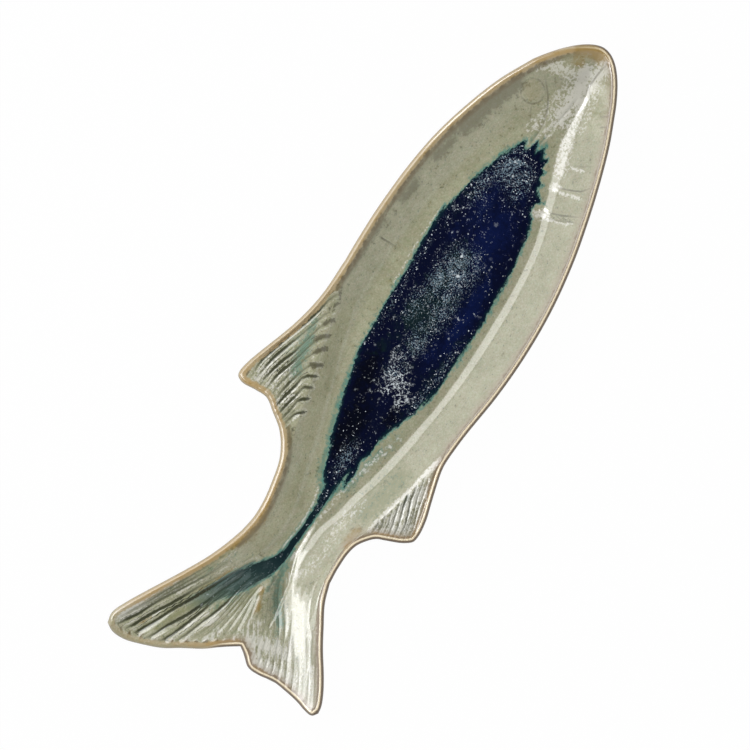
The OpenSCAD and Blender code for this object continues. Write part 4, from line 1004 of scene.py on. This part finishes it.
class Recipe:
    # a finish and the nodes it is mixed from, on places in pixels of the photograph
    def __init__(self, name):
        self.material = bpy.data.materials.new(name)
        self.material.use_nodes = True
        self.tree = self.material.node_tree
        self.place = self.node("VectorMath", {0: self.node("TexCoord", {}, "Object"), "Scale": 1000 / pixel},
                               operation="SCALE")
        self.x, self.y, self.z = self.parts(self.place)

    def node(self, *words, **settings):
        return addNode(self.tree, *words, **settings)

    def parts(self, field, kind="XYZ"):
        return self.node("Separate" + kind, {0: field}, 0, 1, 2)

    def field(self, name):
        return self.parts(self.node("Attribute", {}, "Vector", attribute_name=name))

    def mix(self, a, b, share):
        return self.node("Mix", {0: share, 6: a, 7: b}, 2, data_type="RGBA")

    def layered(self, colour, *layers):
        # each layer's tone over the colour, by its share
        for name, share in layers:
            colour = self.mix(colour, glaze[name], share)
        return colour

    def stretched(self, x, y, turn=0):
        return self.node("Mapping", {"Vector": self.place, "Scale": (1 / x, 1 / y, 1),
                                     "Rotation": (0, 0, math.radians(turn))}, vector_type="TEXTURE")

    def noise(self, size, detail, rough, warp=0, place=None):
        return self.node("TexNoise", {"Vector": place or self.place, "Scale": 1 / size, "Detail": detail,
                                      "Roughness": rough, "Distortion": warp}, "Fac")

    def grains(self, *words):
        # the same with its contrast spread from 0 to 1
        return self.node("MapRange", {"Value": self.noise(*words), "From Min": .33, "From Max": .67}, "Result")

    def cells(self, size, place, *wanted, feature="F1"):
        return self.node("TexVoronoi", {"Vector": place, "Scale": 1 / size}, *wanted, feature=feature)

    def bump(self, height, distance, strength=1, under=None):
        inputs = {"Height": height, "Distance": distance, "Strength": strength}
        return self.node("Bump", {**inputs, "Normal": under} if under else inputs)

    def finished(self, **sockets):
        settle(self.tree, self.tree.nodes["Principled BSDF"], {key.replace("_", " "): sockets[key] for key in sockets})
        return self.material


glazeTones = {
    "sage": (162, 164, 136), "sagePale": (186, 187, 160), "sageDeep": (138, 142, 110), "rose": (176, 162, 142),
    "tan": (168, 148, 112), "cream": (160, 142, 110), "gold": (166, 138, 88), "brown": (88, 68, 44),
    "groove": (58, 60, 44), "valley": (124, 128, 106), "ridge": (204, 202, 186), "ochre": (148, 124, 68),
    "umber": (90, 84, 64), "teal": (90, 134, 120), "halo": (80, 132, 122), "edge": (8, 36, 44), "navy": (3, 8, 34),
    "blue": (8, 22, 66), "black": (1, 3, 12), "greenBlack": (12, 28, 32), "crystal": (214, 222, 226),
    "frost": (108, 128, 140), "paleAndHighlight": (222, 220, 210), "olive": (134, 136, 98), "inkAndShade": (84, 80, 64),
    "stream": (16, 34, 40), "streak": (88, 102, 104), "bandAndShadow": (104, 92, 66), "blush": (152, 136, 120),
    "lipShade": (122, 106, 86), "lipHighlight": (238, 224, 194),
    "clay": (188, 160, 124), "clayPale": (206, 184, 152), "clayDeep": (160, 128, 92), "iron": (104, 76, 52),
}
glaze = {key: tone(*value) for key, value in glazeTones.items()}
# crystals: the size of a cell, how much of it the largest fills, and how many of the cells hold one
crystalSizes = ((1.3, .46, .8), (2.4, .34, .08), (6.4, .26, .06))


def glazeX(x):
    # a pixel along the fish as the finishes count it, from the dish's middle
    return x + notch - centre[0] / pixel


def drawnGlaze(name):
    # the reactive glaze: sage that breaks to tan at the rim, under a poured cobalt with crystals
    r = Recipe(name)
    inPool, inStream, fromRim = r.field("flow")
    signed, near, dark = r.field("rays")
    etchSigned, etchNear, etchDark = r.field("etches")
    ochre, teal, olive = r.field("tints")
    umber, paleAndHighlight, inkAndShade = r.field("shades")
    crystal, foam, fade = r.field("crystals")
    green, blue, black = r.field("depths")
    broad, middling, small = r.grains(26, 3, .5), r.grains(7, 4, .6), r.grains(3, 3, .6)
    grain, dust = r.grains(1.9, 2, .6), r.grains(1.45, 1, .5)
    drift = r.grains(3.6, 2, .6, 0, r.stretched(1, .45, 40))
    # brushed along the two lobes of the tail, and plain in front of it
    lobes = [r.grains(3, 3, .6, .2, r.stretched(.1, 1, turn)) for turn in (30, -29)]
    raked = blend(blend(*lobes, r.y.step(2, 22)), small, r.x.step(glazeX(84), glazeX(116)))

    def loose(value, big=0, little=0, tiny=0):
        # a value with ragged edges of three sizes
        for size, share in ((middling, big), (small, little), (grain, tiny)):
            if share:
                value = value + (size - .5) * share
        return value

    away, known = abs(signed), near.step(.02, .2)
    groove = (loose(away, 0, .7, .3) - dark * .9).step(1.1, -.1) * known * dark
    valley = loose(away, 0, 1.6).step(3.2, .6) * known * dark
    ridge = near.step(.02, .12) * near.step(.6, .25)
    inTail = r.x.step(glazeX(116), glazeX(84))
    # where the whitish strokes lay their glaze, painted highlights and painted light, with ragged edges
    paleAndHighlightShare = (loose(paleAndHighlight, .3, .2, .3) + (raked - .5) * blend(.85, 1.1, inTail)) * paleAndHighlight.step(.02, .3)
    etch = abs(etchSigned).step(1.6, .3) * etchNear.step(.02, .2) * etchDark
    flat = r.node("VectorMath", {0: r.place, 1: (1, 1, 0)}, operation="MULTIPLY")
    eyePlace = (glazeX(eye["place"][0]), eye["place"][1] - centre[1] / pixel, 0)
    fromEye = r.node("VectorMath", {0: flat, 1: eyePlace}, "Value", operation="DISTANCE")
    eyeRing = abs(fromEye - eye["radius"]).step(1.5, .3)
    mottled = r.mix(glaze["sageDeep"], glaze["sagePale"], broad * .45 + raked * .55)
    colour = r.layered(
        r.mix(glaze["sage"], mottled, .85),
        ("rose", drift * .4), ("paleAndHighlight", grain.step(.55, 1) * .2), ("sageDeep", grain.step(.45, 0) * .4),
        # rays: dark where the glaze runs thick in the grooves, pale where it thins on the ridges
        ("ridge", ridge * loose(.5, 0, .5, .5).step(.3, .7) * .8), ("olive", loose(olive, .3, .6).step(.1, .8) * .7),
        ("teal", loose(teal, .45, .8, .5).step(.15, 1) * .8), ("ochre", loose(ochre, .6, .4).step(.05, 1) * .85),
        # the whitish strokes lay painted highlights and painted light as well as whitish glaze
        ("umber", loose(umber, .6, .7, .5).step(.1, 1) * .62), ("paleAndHighlight", paleAndHighlightShare.step(.2, .9) * .85),
        ("valley", valley * .45), ("groove", groove * .95),
        # the dark strokes: painted shade at the dorsal fin's root and specks on the head
        ("inkAndShade", loose(inkAndShade, .4, .7, .3).step(.2, .8) * inkAndShade.step(.02, .2) * .8),
        # the eye and its ring, the gills and the lines on the head
        ("ochre", fromEye.step(12, 7) * .2), ("umber", eyeRing * loose(.5, .8).step(.2, .7) * .5),
        ("inkAndShade", etch * etchDark * .8))
    # painted light and shade by side: every tone is scaled down, the belly's side, which faces the lamps, a little
    # more, so that the back side is painted a little lighter
    backward = r.y.step(-40, 40)
    colour = r.node("VectorMath", {0: colour, "Scale": backward * .03 + .83}, operation="SCALE")
    # the lip, with a brown strip inside it at the back, partly glaze breaking and partly a painted shadow cast by the
    # lip, and a blush inside it at the belly
    atBack = r.y.step(-14, 20)
    edge = loose(fromRim, 2.2, 1.2)
    bandAndShadow = edge.step(13, 9.5) * edge.step(5.2, 7.2) * (atBack * (middling * .6 + .5))
    # painted shade: the back side, which faces away from the lamps, tinted olive
    colour = r.layered(colour, ("olive", backward * .08), ("bandAndShadow", bandAndShadow * near.step(.3, 0)),
                       ("blush", edge.step(14, 5) * atBack.step(.5, 0) * .55))
    # the lip's tone is painted by side: a shaded copy on the belly's side, a painted highlight along its top there, and
    # a brown outer line there that is painted shade on the lip's rolled outer side
    lip = r.layered(glaze["tan"], ("gold", loose(.5, .9, .3).step(.45, .95) * .6), ("lipShade", atBack.step(.6, .2)),
                    ("gold", ochre.step(.05, .7) * .5))
    onTop = loose(fromRim, .3, .5).step(5, 4.1) * fromRim.step(2.3, 3.2).most(atBack)
    lip = r.mix(lip, r.mix(glaze["lipHighlight"], glaze["cream"], atBack), onTop * (fromRim + atBack * 3.2).step(5.2, 4.2))
    lip = r.layered(lip, ("brown", loose(fromRim, 0, .4).step(2.4, 1.5) * atBack.step(.9, .1)))
    atTip = r.x.step(glazeX(-14), glazeX(-40))
    colour = r.mix(colour, lip, edge.step(8, 5.8) * (atTip * (middling * .3 - .6) + .88))
    # the stream that ran through the waist into the tail, and the cobalt it came from
    feather = r.grains(9, 4, .6, .4, r.stretched(.25, 1))
    combs = [r.grains(3.4, 3, .6, .2, r.stretched(.12, 1, turn)) for turn in (-29, 0)]
    combed = blend(*combs, r.x.step(glazeX(82), glazeX(112)))
    run = inStream + (combed - .5) * 2.6 + (small - .5) * .6
    depth = inPool + (feather - .5) * 3.6 + (small - .5) * 2 + .5
    upstream = r.x.step(glazeX(120), glazeX(205))
    either, held = depth.most(run), upstream.most(fade)
    deep = r.layered(glaze["navy"], ("blue", loose(blue, .5, .3).step(.1, 1.1) * .7),
                     ("greenBlack", (green + (r.grains(12, 4, .6, .6) - .5) * .9).step(.25, 1)),
                     ("black", loose(black, .6).step(.2, .9) * .85))
    deep = r.mix(glaze["edge"], deep, depth.step(0, 4.5))
    thin = r.layered(glaze["stream"], ("streak", combed.step(.42, .9) * (fade.step(.99, .8) * .65)))
    colour = r.layered(colour, ("ochre", loose(ochre, .4, .2).step(.8, 1.25) * .6),
                       ("brown", groove * fromRim.step(8, 4) * .6),
                       ("halo", (either + small).step(-1.9, .4) * held * .8))
    colour = r.mix(colour, r.mix(thin, deep, upstream), either.step(-.5, 1.1) * held)
    # crystals that floated up in it, lace of froth and a fine powder
    inside = either.step(.3, 3)
    shake = r.node("TexNoise", {"Vector": r.place, "Scale": .45}, "Color")
    wander = r.node("VectorMath", {0: shake, 1: (2.6, 2.6, 0), 2: r.place}, operation="MULTIPLY_ADD")
    density = crystal * (middling * .8 + .35) + .009
    lace = r.cells(5.4, wander, "Distance", feature="DISTANCE_TO_EDGE")
    white = lace.step(.2, .02) * loose(foam, .6, .5).step(.2, .7) * (dust.step(.2, .8) * .75)
    for size, largest, few in crystalSizes:
        far, random = r.cells(size, wander, "Distance", "Color")
        present, wide, clear = r.parts(random, "Color")
        spot = (wide * largest + .08 - far).step(-.1, .1) * (density * few - present).step(-.03, .03)
        white = white.most(spot * (clear * clear * .9 + .1))
    powder = (dust * .8 + crystal * (middling + .2) * .5).step(.66, 1.06) * crystal.step(.1, .7)
    colour = r.layered(colour, ("groove", groove * run.step(-4, 0) * .8), ("frost", powder * .78 * inside),
                       ("crystal", white * inside))
    cut = r.bump(etch * -.5 + eyeRing * -.4 - groove, .00014, 1, r.bump(r.noise(7, 1, .5), .00006))
    return r.finished(Base_Color=colour, Roughness=fromRim.step(6, 1) * .12 + .2 - inside * .15, IOR=1.5,
                      Coat_Weight=1, Coat_Roughness=.06, Coat_IOR=1.7, Normal=cut)


def bareClay():
    r = Recipe("bareStoneware")
    far, random = r.cells(3.2, r.place, "Distance", "Color")
    specks = far.step(.2, .12) * r.parts(random, "Color")[0].step(.8, .84)
    colour = r.layered(glaze["clay"], ("clayPale", r.noise(16, 4, .6)), ("iron", specks * .7),
                       ("clayDeep", r.noise(2, 3, .7).step(.55, .8) * .4))
    return r.finished(Base_Color=colour, Roughness=.82, Normal=r.bump(r.noise(1.6, 4, .7), .0002, .8))


def lowerGlaze():
    # the same sage outside, with no drawing: it breaks to tan at the rim
    r = Recipe("undersideGlaze")
    mottled = (r.noise(26, 3, .55) * .6 + r.noise(2.6, 3, .65) * .55).step(.32, .82)
    colour = r.mix(glaze["sage"], r.mix(glaze["sageDeep"], glaze["sagePale"], mottled), .6)
    lip = r.z + (r.noise(7, 4, .6) - .5) * 6
    colour = r.layered(colour, ("tan", lip.step(34, 42) * .85), ("brown", lip.step(40, 45) * .45))
    return r.finished(Base_Color=colour, Roughness=.22, Coat_Weight=.8, Coat_Roughness=.07,
                      Normal=r.bump(r.noise(5, 2, .5), .0001))


clay = bareClay()
finishes = {sageCoat: drawnGlaze("sageGlaze"), bluePool: drawnGlaze("blueGlaze"), undersideCoat: lowerGlaze(),
            clayBody: clay, footRing: clay}
for piece, finish in finishes.items():
    piece.data.materials.clear()
    piece.data.materials.append(finish)
print("glazes mixed")

# the studio: a white table, three softboxes at the dish's back side, a low fill at its belly, and a soft room
# each box: how far along the fish it hangs, its share of the height, how much nearer to upright, its size and watts
studio = {
    "boxes": {"softbox": (-.02, 1, -.04, (1.5, .72), 9.4), "tailBox": (-.40, .96, .17, (.44, .86), 4.3),
              "headBox": (.46, .96, -.02, (.28, .6), 3.0)},
    "height": 1.15, "lean": 35, "fill": {"far": 1.5, "up": 26, "size": (1.5, .6), "watts": 13},
    "paper": .5, "paperGlow": .985, "ceiling": .02, "front": .36, "back": 1.14,
}
view = {"middle": (-.0138, .0028), "height": 2.0, "dishTop": .028, "width": .4967, "sensor": 36,
        "turn": math.atan2(-.8559812, .51700695)}
bpy.ops.mesh.primitive_plane_add(size=8, location=(0, 0, -.0002))
table = bpy.context.object
table.name = "table"
paper = bpy.data.materials.new("whitePaper")
paper.use_nodes = True
tree = paper.node_tree
matt = tree.nodes["Principled BSDF"]
settle(tree, matt, {"Base Color": (studio["paper"],) * 3 + (1,), "Roughness": 1})
seen = addNode(tree, "LightPath", {}, "Is Camera Ray") * studio["paperGlow"]
glow = addNode(tree, "Emission", {"Strength": 1})
both = addNode(tree, "MixShader", {0: seen, 1: Field(tree, matt.outputs[0]), 2: glow})
settle(tree, tree.nodes["Material Output"], {"Surface": both})
table.data.materials.append(paper)

# the ceiling is dark, the wall behind the dish's back is bright, the one at its belly is dim
room = bpy.data.worlds.new("room")
bpy.context.scene.world = room
room.use_nodes = True
tree = room.node_tree
way = addNode(tree, "TexCoord", {}, "Generated")
y, z = addNode(tree, "SeparateXYZ", {0: way}, 1, 2)
walls = z.step(.7, .35) * y.step(-.4, .8, studio["front"], studio["back"]) + studio["ceiling"]
seen = addNode(tree, "LightPath", {}, "Is Camera Ray")
settle(tree, tree.nodes["Background"], {"Color": (1, 1, 1, 1),
                                        "Strength": addNode(tree, "Mix", {0: seen, 2: walls, 3: 1})})


def hangLamp(name, place, rotation, size, watts):
    bpy.ops.object.light_add(type="AREA", location=place, rotation=rotation)
    lamp = bpy.context.object
    lamp.name = name
    lamp.data.shape = "RECTANGLE"
    lamp.data.size, lamp.data.size_y = size
    lamp.data.energy = watts
    return lamp


lean = math.radians(studio["lean"])
for name, (at, share, upright, size, watts) in studio["boxes"].items():
    away = studio["height"] * share
    hangLamp(name, (at, away * math.sin(lean) - upright * math.cos(lean),
                    away * math.cos(lean) + upright * math.sin(lean)), (-lean, 0, 0), size, watts)

# a low fill from the belly's side for the back wall, which leans away from the others, left out of reflections
fill = studio["fill"]
up = math.radians(fill["up"])
lamp = hangLamp("fill", (0, -fill["far"] * math.cos(up), fill["far"] * math.sin(up)), (math.pi / 2 - up, 0, 0),
                fill["size"], fill["watts"])
lamp.visible_glossy = False

bpy.ops.object.camera_add(location=(*view["middle"], view["height"]), rotation=(0, 0, view["turn"]))
camera = bpy.context.object
camera.data.sensor_width = view["sensor"]
camera.data.lens = view["sensor"] * (view["height"] - view["dishTop"]) / view["width"]
bpy.context.scene.camera = camera
bpy.context.scene.view_settings.view_transform = "Standard"
print("studio lit")
